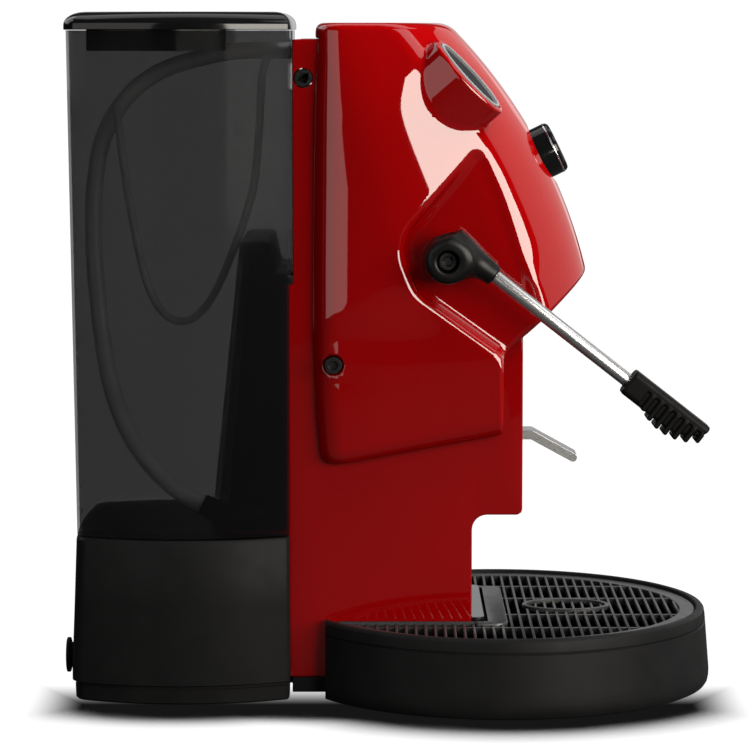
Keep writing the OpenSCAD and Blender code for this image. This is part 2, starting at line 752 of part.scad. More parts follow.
// Places a child at the pivot with X along the rod and Z across it.
module at_lever() {
    translate([pivot[0], hub_y, pivot[2]]) rotate([0, lever_tilt, 0]) children();
}

module lever_hub() {
    color(black) difference() {
        union() {
            bar_y([pivot[0], pivot[2]], 11, -75, -pocket_floor - 0.8);
            at_lever() translate([-3.5, 0, rod_rise]) rotate([0, 90, 0]) cylinder(r1 = 6.4, r2 = 5, h = 25);
        }
        bar_y([pivot[0], pivot[2]], shaft_r + 0.05, -62.05, -40);
        bar_y([pivot[0], pivot[2]], 5, -80, -67);
        bar_y([pivot[0], pivot[2]], 2.2, -80, -60);
        at_lever() translate([-10, 0, rod_rise]) rotate([0, 90, 0]) cylinder(r = rod_d / 2 + 0.02, h = 60);
    }
}

module hub_screw() {
    color("#2a2a2c") difference() {
        union() {
            bar_y([pivot[0], pivot[2]], 4.2, -70.5, -67);
            bar_y([pivot[0], pivot[2]], 2, -67.5, -62.1);
        }
        translate([pivot[0], -69, pivot[2]]) rotate([90, 0, 0]) cylinder(r = 2.4, h = 3, $fn = 6);
    }
}

module lever_rod() {
    color(steel) at_lever() translate([-4.4, 0, rod_rise]) rotate([0, 90, 0])
        cylinder(r = rod_d / 2, h = lever_reach - 6);
}

grip_l = 43;
rib_pitch = 4.8;
// How far the rib at distance u along the grip reaches below the rod.
function rib_depth(u) = 9.3 - 0.021 * pow(u - 23, 2);
module lever_grip() {
    s0 = lever_reach - grip_l;
    color("#161616") at_lever() difference() {
        union() {
            translate([s0, 7.6, rod_rise]) rotate([90, 0, 0]) linear_extrude(15.2) polygon(rounded([
                [0, 6.4, 0.8], [grip_l, 6.4, 0.8], [grip_l, 2.2, 1], [38, -3.6, 6], [30, -6.3, 8], [0, -6.3, 0.8]]));
            for (k = [0:5]) let (u = 11.6 + rib_pitch * k)
                translate([s0 + u, 8.6, rod_rise]) rotate([90, 0, 0]) linear_extrude(17.2)
                    polygon([[0, 2], [2.3, 2], [2.3, -rib_depth(u)], [0, -rib_depth(u)]]);
        }
        translate([s0 - 1, 0, rod_rise]) rotate([0, 90, 0]) cylinder(r = rod_d / 2 + 0.02, h = grip_l - 7);
    }
}

// ---------- drip tray ----------

slot_half = col + 1.2;
slot_x = foot_x + 7.4;
tray_back = -31;

module tray_slot(half, front, z0, z1) {
    translate([-60, -half, z0]) cube([60 + front, 2 * half, z1 - z0]);
}

module drip_tray() {
    wall = 2.6;
    ledge = tray_rim - 6;
    color(black) difference() {
        translate([tray_x, 0, 0]) rotate_extrude() polygon([
            [0, 0.5], [97.4, 0.5], [99.6, 3], [tray_r + 2.5, 7], [tray_r + 2.2, 12], [tray_r + 0.4, tray_rim - 4],
            [tray_r, tray_rim - 1.2], [tray_r - 0.8, tray_rim - 0.2], [tray_r - 1.6, tray_rim],
            [tray_r - 3.4, tray_rim], [0, tray_rim]]);
        difference() {
            translate([tray_x, 0, 0]) rotate_extrude() polygon([
                [0, 3.2], [tray_r - 4, 3.2], [tray_r - 1.2, 9], [tray_r - 3.4, ledge - 2], [tray_r - 9, ledge],
                [tray_r - 9, ledge + 0.3], [tray_r - 3.9, ledge + 0.3], [tray_r - 3.9, 60], [0, 60]]);
            tray_slot(slot_half + wall, slot_x + wall, -5, ledge);
            translate([-60, -120, -5]) cube([60 + tray_back + wall, 240, 100]);
        }
        tray_slot(slot_half, slot_x, -5, 80);
        translate([-90, -120, -5]) cube([90 + tray_back, 240, 100]);
    }
}

grid_r = tray_r - 4.2;
grid_z = tray_rim - 5.6;
grid_h = 4;
bar_t = 1.2;
// The grid's slots run across it, between these stiffening ribs.
rib_y = [-56, -22, 22, 56];
rib_t = 1.6;

module drip_grid() {
    slots_r = grid_r - 7.5;
    count = floor(slots_r / bar_pitch) - 1;
    flange_x = slot_x + 9.5;
    color(black) difference() {
        union() {
            difference() {
                translate([tray_x, 0, grid_z]) cylinder(r = grid_r, h = grid_h);
                for (k = [-count:count - 1])
                    let (
                        x = k * bar_pitch,
                        reach = sqrt(pow(slots_r, 2) - pow(max(abs(x), abs(x + bar_pitch)), 2)),
                        stops = concat([-reach - rib_t / 2], [for (y = rib_y) if (abs(y) < reach - 2) y],
                            [reach + rib_t / 2])
                    )
                    for (i = [0:len(stops) - 2])
                        translate([tray_x + x, stops[i] + rib_t / 2, grid_z - 1])
                            cube([bar_pitch - bar_t, stops[i + 1] - stops[i] - rib_t, grid_h + 2]);
            }
            translate([0, 0, grid_z + 0.5]) linear_extrude(grid_h + 0.3) polygon(rounded([
                [tray_back + 6, -slot_half - 2.4, 0], [slot_x - 6, -slot_half - 2.4, 1],
                [slot_x - 5, -slot_half - 5.4, 1], [flange_x, -slot_half - 4.5, 6],
                [flange_x, slot_half + 4.5, 6], [slot_x - 5, slot_half + 5.4, 1],
                [slot_x - 6, slot_half + 2.4, 1], [tray_back + 6, slot_half + 2.4, 0]]));
        }
        tray_slot(slot_half + 0.3, slot_x + 0.3, 0, 80);
        translate([-90, -120, 0]) cube([90 + tray_back + 3.2, 240, 100]);
    }
}

base_plate();
rubber_feet();
rear_housing();
side_panel();  // side_panel_right
mirror([0, 1, 0]) side_panel();  // side_panel_left
rear_cover();
front_cover();
spacer_bars();
panel_screws();
hood();
hood_screws();
eye_bezels();
eye_lenses();
button_guide();
brew_button();
brew_switch();
group_frame();
shaft_bushes();
shaft_cap();
pod_holder();
pod_ring();
coffee_spout();
holder_bracket();
group_cover();
spout_cover();
tongue_pin();
pod_tongue();
boiler();
boiler_thermostats();
pump();
pump_cradle();
control_board();
switch_frame();
power_rocker();
cable_gland();
hose_fitting();
lever_hub();
lever_rod();
lever_grip();
lever_shaft();
lever_cam();
hub_screw();
piston();
shower_screen();
piston_gasket();
return_spring();
water_tank();
intake_hose();
hose_elbow();
intake_filter();
return_hose();
tank_lid();
drip_tray();
drip_grid();
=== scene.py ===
"""The looks of the espresso machine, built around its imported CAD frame.

The front faces +X and the lever is on the -Y side. Shapes are worked out in millimetres and made in metres.
"""

import json
import math

import bmesh
import bpy
import numpy as np
from mathutils import Matrix, Vector


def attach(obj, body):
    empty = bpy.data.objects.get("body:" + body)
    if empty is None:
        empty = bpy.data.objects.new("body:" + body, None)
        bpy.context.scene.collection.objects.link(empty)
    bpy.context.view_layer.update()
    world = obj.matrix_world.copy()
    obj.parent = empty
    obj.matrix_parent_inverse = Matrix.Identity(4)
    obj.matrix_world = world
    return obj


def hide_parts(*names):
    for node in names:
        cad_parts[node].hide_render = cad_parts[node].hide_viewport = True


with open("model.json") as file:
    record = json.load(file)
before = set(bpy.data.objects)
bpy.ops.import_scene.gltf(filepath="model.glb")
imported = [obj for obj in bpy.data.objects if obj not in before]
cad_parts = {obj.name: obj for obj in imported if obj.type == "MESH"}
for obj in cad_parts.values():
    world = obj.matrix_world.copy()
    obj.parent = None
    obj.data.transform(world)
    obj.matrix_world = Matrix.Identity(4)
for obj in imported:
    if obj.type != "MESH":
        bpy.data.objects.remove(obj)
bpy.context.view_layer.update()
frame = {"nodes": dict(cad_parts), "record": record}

MM = 0.001
WELD = 0.01  # millimetres within which doubled points are one
COLLECTION = bpy.context.scene.collection

# ---------------------------------------------------------------- camera and stage

CAMERA_AT = (-0.0078, -1.5385, 0.3115)
CAMERA_DROP = 6.09  # degrees that the camera looks down
CAMERA_LENS = 155.1
WHITE_GLOW = 1.05  # strength at which the table and the backdrop come out white


def make_camera():
    data = bpy.data.cameras.new("camera")
    data.lens = CAMERA_LENS
    data.sensor_width = 36.0
    data.clip_end = 20.0
    camera = bpy.data.objects.new("camera", data)
    camera.location = CAMERA_AT
    camera.rotation_euler = (math.radians(90 - CAMERA_DROP), 0, 0)
    COLLECTION.objects.link(camera)
    bpy.context.scene.camera = camera


def soft_box(name, azimuth, elevation, distance, size, radiance, colour=(1, 1, 1), glossy=True):
    """A rectangular light that faces the machine from an azimuth (0 is +X, -90 the camera's side)."""
    a, e = math.radians(azimuth), math.radians(elevation)
    middle = Vector((0, 0, 0.17))  # near the machine's middle
    way = Vector((math.cos(e) * math.cos(a), math.cos(e) * math.sin(a), math.sin(e)))
    data = bpy.data.lights.new(name, "AREA")
    data.shape = "RECTANGLE"
    data.size, data.size_y = size
    data.energy = 4 * size[0] * size[1] * radiance
    data.color = colour
    light = bpy.data.objects.new(name, data)
    light.location = middle + way * distance
    light.rotation_euler = (-way).to_track_quat("-Z", "Y").to_euler()
    light.visible_camera = False
    light.visible_glossy = glossy
    COLLECTION.objects.link(light)


def table_material():
    """White paper: it glows evenly to the lens, with a contact shadow painted into the glow where the machine
    stands close, and it lights little.
    """
    white = bpy.data.materials.new("table_white")
    white.use_nodes = True
    nodes, links = white.node_tree.nodes, white.node_tree.links
    shader = nodes["Principled BSDF"]
    shader.inputs["Base Color"].default_value = (0.03, 0.03, 0.03, 1)
    shader.inputs["Roughness"].default_value = 0.6
    shader.inputs["Specular IOR Level"].default_value = 0.0
    # Painted shadow: the glow dims where ambient occlusion finds the machine close.
    closeness = nodes.new("ShaderNodeAmbientOcclusion")
    closeness.inputs["Distance"].default_value = 0.055
    closeness.samples = 32
    painted_shadow = nodes.new("ShaderNodeMapRange")
    painted_shadow.interpolation_type = "SMOOTHSTEP"
    painted_shadow.inputs["From Min"].default_value = 0.77
    painted_shadow.inputs["From Max"].default_value = 0.99
    painted_shadow.inputs["To Min"].default_value = 0.008
    painted_shadow.inputs["To Max"].default_value = WHITE_GLOW
    links.new(closeness.outputs["AO"], painted_shadow.inputs["Value"])
    place = nodes.new("ShaderNodeSeparateXYZ")
    links.new(nodes.new("ShaderNodeTexCoord").outputs["Object"], place.inputs[0])
    brightness = painted_shadow.outputs["Result"]
    # The painted shadow fades out behind the machine and past its two ends, at these places in the table's
    # frame.
    for axis, dark, bright in [("Y", -1.065, -1.01), ("X", -0.142, -0.172), ("X", 0.138, 0.168)]:
        fade = nodes.new("ShaderNodeMapRange")
        fade.interpolation_type = "SMOOTHSTEP"
        fade.inputs["From Min"].default_value = dark
        fade.inputs["From Max"].default_value = bright
        fade.inputs["To Max"].default_value = WHITE_GLOW
        links.new(place.outputs[axis], fade.inputs["Value"])
        brightest = nodes.new("ShaderNodeMath")
        brightest.operation = "MAXIMUM"
        links.new(brightness, brightest.inputs[0])
        links.new(fade.outputs["Result"], brightest.inputs[1])
        brightness = brightest.outputs[0]
    glow = nodes.new("ShaderNodeEmission")
    links.new(brightness, glow.inputs["Strength"])
    path = nodes.new("ShaderNodeLightPath")
    mix = nodes.new("ShaderNodeMixShader")
    links.new(path.outputs["Is Camera Ray"], mix.inputs["Fac"])
    links.new(shader.outputs[0], mix.inputs[1])
    links.new(glow.outputs[0], mix.inputs[2])
    links.new(mix.outputs[0], nodes["Material Output"].inputs["Surface"])
    return white


def make_stage():
    """A white table top, soft boxes, and a backdrop that only the camera sees as white."""
    corners = [(-3, -2.5, 0), (3, -2.5, 0), (3, 2.5, 0), (-3, 2.5, 0)]
    mesh = bpy.data.meshes.new("table_top")
    mesh.from_pydata(corners, [], [(0, 1, 2, 3)])
    table = bpy.data.objects.new("table_top", mesh)
    table.location = (0, 1.0, 0)
    COLLECTION.objects.link(table)
    mesh.materials.append(table_material())

    soft_box("key_box", -48.5, 11, 1.7, (1.48, 0.8), 12, (1, 0.95, 0.86))
    soft_box("front_box", 0, 52, 1.5, (0.7, 0.6), 34, glossy=False)
    soft_box("high_box", -15, 50, 1.5, (1.0, 0.5), 1.6)
    soft_box("roof_box", -75, 72, 1.5, (0.8, 0.6), 8, glossy=False)
    soft_box("fill_box", -130, 12, 1.7, (1.4, 1.2), 1.15, (1, 0.97, 0.92))
    soft_box("rim_box", 32, 16, 1.6, (2.2, 1.3), 0.6, (1, 0.97, 0.92))
    soft_box("top_box", 90, 72, 1.5, (1.8, 1.0), 1.0)
    soft_box("rear_box", 155, 35, 1.6, (1.4, 1.0), 1.6)
    soft_box("back_box", 90, 12, 1.8, (2.2, 0.6), 0.5)

    world = bpy.data.worlds.new("studio")
    world.use_nodes = True
    nodes, links = world.node_tree.nodes, world.node_tree.links
    room = nodes["Background"]
    room.inputs["Color"].default_value = (0.9, 0.95, 1, 1)
    room.inputs["Strength"].default_value = 0.03
    backdrop = nodes.new("ShaderNodeBackground")
    backdrop.inputs["Color"].default_value = (1, 1, 1, 1)
    backdrop.inputs["Strength"].default_value = WHITE_GLOW
    path = nodes.new("ShaderNodeLightPath")
    mix = nodes.new("ShaderNodeMixShader")
    links.new(path.outputs["Is Camera Ray"], mix.inputs["Fac"])
    links.new(room.outputs[0], mix.inputs[1])
    links.new(backdrop.outputs[0], mix.inputs[2])
    links.new(mix.outputs[0], nodes["World Output"].inputs["Surface"])
    bpy.context.scene.world = world
    bpy.context.scene.view_settings.view_transform = "Standard"


make_camera()
make_stage()

# ---------------------------------------------------------------- materials


class Shader:
    """A Principled material and the few nodes that give it its grain."""

    def __init__(self, name, colour, roughness, **sockets):
        self.material = bpy.data.materials.new(name)
        self.material.use_nodes = True
        self.nodes = self.material.node_tree.nodes
        self.links = self.material.node_tree.links
        self.bsdf = self.nodes["Principled BSDF"]
        self.bsdf.inputs["Base Color"].default_value = (*colour, 1)
        self.bsdf.inputs["Roughness"].default_value = roughness
        for key, value in sockets.items():
            self.bsdf.inputs[key.replace("_", " ")].default_value = value
        self.place = self.nodes.new("ShaderNodeTexCoord").outputs["Object"]
        self.normal = None

    def noise(self, size, detail=2.0, stretch=(1, 1, 1)):
        """Noise whose blobs are about size millimetres across."""
        mapping = self.nodes.new("ShaderNodeMapping")
        mapping.inputs["Scale"].default_value = [1 / s for s in stretch]
        self.links.new(self.place, mapping.inputs["Vector"])
        texture = self.nodes.new("ShaderNodeTexNoise")
        texture.inputs["Scale"].default_value = 1 / (size * MM)
        texture.inputs["Detail"].default_value = detail
        self.links.new(mapping.outputs[0], texture.inputs["Vector"])
        return texture.outputs["Fac"]

    def ramp(self, value, low, high):
        """Maps a 0 to 1 value to the range low to high."""
        node = self.nodes.new("ShaderNodeMapRange")
        node.inputs["From Min"].default_value = 0.3
        node.inputs["From Max"].default_value = 0.7
        node.inputs["To Min"].default_value = low
        node.inputs["To Max"].default_value = high
        self.links.new(value, node.inputs["Value"])
        return node.outputs["Result"]

    def vary_roughness(self, size, low, high, **how):
        self.links.new(self.ramp(self.noise(size, **how), low, high), self.bsdf.inputs["Roughness"])

    def vary_colour(self, size, first, second, **how):
        mix = self.nodes.new("ShaderNodeMix")
        mix.data_type = "RGBA"
        mix.inputs["A"].default_value = (*first, 1)
        mix.inputs["B"].default_value = (*second, 1)
        self.links.new(self.ramp(self.noise(size, **how), 0, 1), mix.inputs["Factor"])
        self.links.new(mix.outputs["Result"], self.bsdf.inputs["Base Color"])

    def bump(self, size, depth, **how):
        """Adds relief of about depth millimetres to what is there already."""
        node = self.nodes.new("ShaderNodeBump")
        node.inputs["Strength"].default_value = 1
        node.inputs["Distance"].default_value = depth * MM
        self.links.new(self.noise(size, **how), node.inputs["Height"])
        if self.normal is not None:
            self.links.new(self.normal, node.inputs["Normal"])
        self.normal = node.outputs["Normal"]
        self.links.new(self.normal, self.bsdf.inputs["Normal"])


def gloss_paint(name, colour, deep):
    """Lacquer with a slight orange peel under a clear coat."""
    s = Shader(
        name, colour, 0.34, Coat_Weight=1.0, Coat_Roughness=0.03, Coat_IOR=1.52, Specular_IOR_Level=0.0)
    s.vary_colour(40, colour, deep, detail=1)
    s.vary_roughness(30, 0.32, 0.36)
    s.bump(2.6, 0.002, detail=1)
    return s.material


def moulded(name, colour, low, high, grain=0.55, depth=0.02, **sockets):
    """Moulded plastic with a spark-eroded grain."""
    s = Shader(name, colour, (low + high) / 2, **sockets)
    s.vary_colour(14, colour, [c * 1.25 for c in colour], detail=3)
    s.vary_roughness(5, low, high, detail=3)
    s.bump(grain, depth, detail=2)
    s.bump(grain * 9, depth * 0.6, detail=1)
    return s.material


def metal(name, colour, low, high, stretch=(1, 1, 1), grain=0.5, depth=0.004):
    """Metal whose grain is drawn out along one direction."""
    s = Shader(name, colour, (low + high) / 2, Metallic=1.0)
    s.vary_colour(3, colour, [c * 0.9 for c in colour], stretch=stretch)
    s.vary_roughness(1.2, low, high, stretch=stretch)
    s.bump(grain, depth, stretch=stretch)
    return s.material


def smoked_plastic():
    """Clear plastic tinted grey: it lets most light through and keeps a gloss."""
    s = Shader("smoked_plastic", (0.003, 0.003, 0.0035), 0.06, Specular_IOR_Level=0.015, Alpha=0.6)
    s.bump(30, 0.02, detail=1)
    return s.material


def clear_hose():
    s = Shader("clear_hose", (0.62, 0.64, 0.66), 0.25, Alpha=0.55)
    s.vary_colour(8, (0.62, 0.64, 0.66), (0.5, 0.52, 0.54))
    s.bump(3, 0.01)
    return s.material


RED = (0.135, 0.0, 0.0003)
MATERIALS = {
    "red_paint": gloss_paint("red_paint", RED, (0.129, 0.0, 0.0002)),
    "red_gloss": gloss_paint("red_gloss", RED, (0.129, 0.0, 0.0002)),
    "black_plastic": moulded("black_plastic", (0.0045, 0.0045, 0.0047), 0.36, 0.44, Specular_IOR_Level=0.03),
    "matte_black": moulded(
        "matte_black", (0.002, 0.002, 0.0021), 0.3, 0.4, grain=0.4, depth=0.012, Specular_IOR_Level=0.16),
    "grip_black": moulded(
        "grip_black", (0.0022, 0.0022, 0.0022), 0.4, 0.5, grain=0.4, depth=0.012, Specular_IOR_Level=0.06),
    "gloss_black": moulded(
        "gloss_black", (0.002, 0.002, 0.0022), 0.08, 0.14, grain=3, depth=0.003, Specular_IOR_Level=0.3),
    "tray_black": moulded(
        "tray_black", (0.0045, 0.0045, 0.0047), 0.4, 0.48, grain=0.6, depth=0.02, Specular_IOR_Level=0.05),
    # Painted light: the grid's black is a lighter copy of the tray's black, so the slat tops look lit; its
    # higher gloss catches the lamps for real.
    "grid_black_painted_light": moulded(
        "grid_black_painted_light", (0.012, 0.012, 0.0125), 0.3, 0.38, grain=0.6, depth=0.01, Specular_IOR_Level=0.4),
    "eye_ring": moulded(
        "eye_ring", (0.1, 0.102, 0.105), 0.45, 0.55, grain=0.6, depth=0.01, Specular_IOR_Level=0.1),
    "rubber": moulded(
        "rubber", (0.004, 0.004, 0.004), 0.6, 0.75, grain=0.7, depth=0.02, Specular_IOR_Level=0.3),
    "gasket": moulded("gasket", (0.2, 0.03, 0.02), 0.5, 0.6),
    "steel": metal("steel", (0.52, 0.52, 0.53), 0.28, 0.42, stretch=(6, 6, 1)),
    "polished_steel": metal("polished_steel", (0.6, 0.6, 0.61), 0.27, 0.31, grain=12, depth=0.0004),
    "chrome_trim": metal("chrome_trim", (0.7, 0.71, 0.72), 0.16, 0.24),
    "black_screw": metal("black_screw", (0.02, 0.02, 0.021), 0.35, 0.5),
    "aluminium": metal("aluminium", (0.5, 0.5, 0.52), 0.38, 0.55, grain=0.9, depth=0.02),
    "brass": metal("brass", (0.6, 0.42, 0.18), 0.25, 0.38, stretch=(6, 6, 1)),
    "ceramic": moulded("ceramic", (0.7, 0.64, 0.52), 0.5, 0.6),
    "pump_body": moulded("pump_body", (0.62, 0.56, 0.42), 0.45, 0.55),
    "circuit_board": moulded("circuit_board", (0.01, 0.11, 0.03), 0.3, 0.4),
    "eye_lens": moulded(
        "eye_lens", (0.011, 0.0115, 0.0125), 0.4, 0.5, grain=0.8, depth=0.02, Specular_IOR_Level=0.0),
    "smoke_tank": smoked_plastic(),
    "clear_hose": clear_hose(),
}

# ---------------------------------------------------------------- making meshes


def finish_object(name, mesh, slot, body, replaces=(), look=None):
    """Links the mesh as a piece in its slot's material, or a look of its own, riding on a body."""
    piece = bpy.data.objects.new(name, mesh)
    COLLECTION.objects.link(piece)
    mesh.materials.clear()
    mesh.materials.append(MATERIALS[look or slot])
    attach(piece, body)
    if replaces:
        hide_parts(*replaces)
    return piece


def mesh_from(name, points, faces):
    """A smooth-shaded mesh in metres from points in millimetres."""
    mesh = bpy.data.meshes.new(name)
    places = [tuple(p) for p in np.asarray(points, float) * MM]
    mesh.from_pydata(places, [], [tuple(map(int, f)) for f in faces])
    mesh.polygons.foreach_set("use_smooth", [True] * len(mesh.polygons))
    mesh.update()
    return mesh


def smooth_by_angle(mesh, degrees=32):
    """Smooth shading that keeps edges sharper than the angle crisp."""
    bm = bmesh.new()
    bm.from_mesh(mesh)
    limit = math.radians(degrees)
    for e in bm.edges:
        e.smooth = not (e.is_manifold and e.calc_face_angle(0) > limit)
    for f in bm.faces:
        f.smooth = True
    bm.to_mesh(mesh)
    bm.free()


def modified(mesh, *steps):
    """The mesh after modifiers, each given as (type, settings)."""
    holder = bpy.data.objects.new("holder", mesh)
    COLLECTION.objects.link(holder)
    for kind, settings in steps:
        modifier = holder.modifiers.new(kind.lower(), kind)
        for key, value in settings.items():
            setattr(modifier, key, value)
    depsgraph = bpy.context.evaluated_depsgraph_get()
    result = bpy.data.meshes.new_from_object(holder.evaluated_get(depsgraph), depsgraph=depsgraph)
    bpy.data.objects.remove(holder)
    return result


def cut(mesh, cutter, operation="DIFFERENCE"):
    """mesh with another mesh taken away from it, joined to it, or kept in common."""
    tool = bpy.data.objects.new("tool", cutter)
    COLLECTION.objects.link(tool)
    result = modified(mesh, ("BOOLEAN", {"object": tool, "operation": operation, "solver": "EXACT"}))
    bpy.data.objects.remove(tool)
    return result


def bevelled(mesh, width, segments):
    """Rounds the mesh's hard edges; width is in millimetres."""
    return modified(mesh, ("BEVEL", {
        "width": width * MM, "segments": segments, "limit_method": "ANGLE",
        "angle_limit": math.radians(30), "harden_normals": True, "use_clamp_overlap": True,
        "miter_outer": "MITER_ARC"}))


def tidied(mesh):
    """Welds doubled points and dissolves the edges inside flat faces."""
    bm = bmesh.new()
    bm.from_mesh(mesh)
    bmesh.ops.remove_doubles(bm, verts=bm.verts, dist=WELD * MM)
    bmesh.ops.dissolve_limit(bm, angle_limit=math.radians(1), verts=bm.verts, edges=bm.edges)
    bmesh.ops.recalc_face_normals(bm, faces=bm.faces)
    bm.to_mesh(mesh)
    bm.free()
    return mesh


def loft(name, rings, close=True):
    """A closed skin over rings of points, each with the same number."""
    n, m = len(rings[0]), len(rings)
    points = np.concatenate(rings)
    faces = [
        (j * n + i, j * n + (i + 1) % n, (j + 1) * n + (i + 1) % n, (j + 1) * n + i)
        for j in range(m - 1) for i in range(n)
    ]
    if close:
        faces += [tuple(range(n - 1, -1, -1)), tuple(range((m - 1) * n, m * n))]
    return mesh_from(name, points, faces)


def prism_y(name, outline, y0, y1):
    """A plate with an outline in X and Z, from y0 to y1."""
    near = np.array([(x, y0, z) for x, z in outline])
    far = np.array([(x, y1, z) for x, z in outline])
    return tidy_normals(loft(name, [near, far]))


def prism_z(name, outline, z0, z1):
    low = np.array([(x, y, z0) for x, y in outline])
    high = np.array([(x, y, z1) for x, y in outline])
    return tidy_normals(loft(name, [low, high]))


def tidy_normals(mesh):
    bm = bmesh.new()
    bm.from_mesh(mesh)
    bmesh.ops.recalc_face_normals(bm, faces=bm.faces)
    bm.to_mesh(mesh)
    bm.free()
    return mesh


def box(name, low, high):
    (x0, y0, z0), (x1, y1, z1) = low, high
    return prism_z(name, [(x0, y0), (x1, y0), (x1, y1), (x0, y1)], z0, z1)


def turned(name, profile, segments=96, sharp=32):
    """A body turned about Z from a profile of (radius, height)."""
    angles = np.linspace(0, 2 * math.pi, segments, endpoint=False)
    rings = [
        np.column_stack([r * np.cos(angles), r * np.sin(angles), np.full(segments, z)])
        for r, z in profile
    ]
    mesh = tidy_normals(loft(name, rings))
    smooth_by_angle(mesh, sharp)
    return mesh


def rounded(corners, steps=8):
    """A closed outline whose corners (x, y, radius) are rounded by arcs."""
    line = []
    count = len(corners)
    for i, (x, y, r) in enumerate(corners):
        here = np.array([x, y], float)
        if r == 0:
            line.append(tuple(here))
            continue
        before = np.array(corners[i - 1][:2], float) - here
        after = np.array(corners[(i + 1) % count][:2], float) - here
        before /= np.linalg.norm(before)
        after /= np.linalg.norm(after)
        half = math.acos(np.clip(before @ after, -1, 1)) / 2
        middle = here + (before + after) / np.linalg.norm(before + after) * r / math.sin(half)
        start = here + before * r / math.tan(half) - middle
        turn = (math.pi - 2 * half) * -np.sign(before[0] * after[1] - before[1] * after[0])
        for k in range(steps + 1):
            c, s = math.cos(turn * k / steps), math.sin(turn * k / steps)
            line.append(tuple(middle + np.array([start[0] * c - start[1] * s, start[0] * s + start[1] * c])))
    return line


def joined(name, meshes):
    """One mesh that holds several, with their own materials left out."""
    bm = bmesh.new()
    for m in meshes:
        bm.from_mesh(m)
    mesh = bpy.data.meshes.new(name)
    bm.to_mesh(mesh)
    bm.free()
    return mesh


def moved(mesh, matrix):
    mesh.transform(matrix)
    if matrix.determinant() < 0:
        mesh.flip_normals()
    return mesh


MIRROR_Y = Matrix.Scale(-1, 4, (0, 1, 0))


def mirrored(mesh):
    return moved(mesh.copy(), MIRROR_Y)


# ---------------------------------------------------------------- shapes from distance fields


def smax(a, b, k):
    """The larger of two distances, blended where they are within k of each other."""
    h = np.maximum(k - np.abs(a - b), 0) / k
    return np.maximum(a, b) + h * h * k * 0.25


def smin(a, b, k):
    return -smax(-a, -b, k)


def outline_distance(x, z, corners):
    """Signed distance to a polygon, negative inside."""
    px, pz = np.broadcast_arrays(x, z)
    best = np.full(px.shape, 1e9)
    inside = np.zeros(px.shape, bool)
    for i in range(len(corners)):
        ax, az = corners[i - 1]
        bx, bz = corners[i]
        ex, ez = bx - ax, bz - az
        wx, wz = px - ax, pz - az
        t = np.clip((wx * ex + wz * ez) / (ex * ex + ez * ez), 0, 1)
        best = np.minimum(best, (wx - ex * t) ** 2 + (wz - ez * t) ** 2)
        crosses = (az > pz) != (bz > pz)
        if az != bz:
            inside ^= crosses & (px < (bx - ax) * (pz - az) / (bz - az) + ax)
    return np.where(inside, -np.sqrt(best), np.sqrt(best))


def gradient(field, p):
    """The field's slope at points p, from differences over a small step."""
    step = 0.05
    g = np.empty_like(p)
    for axis in range(3):
        offset = np.zeros(3)
        offset[axis] = step
        a, b = p + offset, p - offset
        g[:, axis] = (field(*a.T) - field(*b.T)) / (2 * step)
    return g


def skin_of(name, field, low, high, cell):
    """The closed surface where a distance field is zero, as a quad mesh with the field's own normals.

    Each cell that the surface crosses gets one point, which is then drawn onto the surface, and each
    lattice edge that it crosses gets a quad between the four cells around it.
    """
    low, high = np.array(low, float), np.array(high, float)
    count = np.ceil((high - low) / cell).astype(int) + 1
    axes = [low[i] + cell * np.arange(count[i]) for i in range(3)]
    d = field(axes[0][:, None, None], axes[1][None, :, None], axes[2][None, None, :])
    d = np.broadcast_to(d, count).astype(np.float32)
    inside = d < 0
    corners = [(i, j, k) for i in (0, 1) for j in (0, 1) for k in (0, 1)]

    def corner(values, c):
        return values[tuple(slice(o, n - 1 + o) for o, n in zip(c, count))]

    total = sum(corner(inside, c).astype(np.int8) for c in corners)
    active = (total > 0) & (total < 8)
    cells = np.argwhere(active)
    index = np.full(active.shape, -1, np.int64)
    index[active] = np.arange(len(cells))
    place = np.zeros((len(cells), 3))
    weight = np.zeros(len(cells))
    for a in corners:
        for axis in range(3):
            if a[axis]:
                continue
            b = tuple(1 if i == axis else v for i, v in enumerate(a))
            da = d[tuple((cells + a).T)]
            db = d[tuple((cells + b).T)]
            hit = (da < 0) != (db < 0)
            t = np.where(hit, da / np.where(hit, da - db, 1), 0)
            p = np.array(a, float)[None, :].repeat(len(cells), 0)
            p[:, axis] = t
            place += p * hit[:, None]
            weight += hit
    points = low + (cells + place / weight[:, None]) * cell
    for _ in range(4):
        g = gradient(field, points)
        step = field(*points.T) / np.maximum((g * g).sum(1), 0.05)
        points -= g * np.clip(step, -0.6 * cell, 0.6 * cell)[:, None]
    faces = []
    for axis in range(3):
        u, v = (axis + 1) % 3, (axis + 2) % 3
        ahead = [slice(1, n - 1) for n in count]
        ahead[axis] = slice(0, count[axis] - 1)
        here = inside[tuple(ahead)]
        ahead[axis] = slice(1, count[axis])
        there = inside[tuple(ahead)]
        edges = np.argwhere(here != there)
        if not len(edges):
            continue
        start = here[tuple(edges.T)]
        base = edges.copy()
        base[:, u] += 1
        base[:, v] += 1
        around = []
        for du, dv in ((-1, -1), (0, -1), (0, 0), (-1, 0)):
            c = base.copy()
            c[:, u] += du
            c[:, v] += dv
            around.append(index[tuple(c.T)])
        quad = np.column_stack(around)
        quad[~start] = quad[~start][:, ::-1]
        faces.append(quad)
    faces = np.concatenate(faces)
    mesh = mesh_from(name, points, faces)
    normals = gradient(field, points)
    normals /= np.linalg.norm(normals, axis=1)[:, None]
    mesh.normals_split_custom_set_from_vertices(normals.tolist())
    return mesh

# ---------------------------------------------------------------- hoses

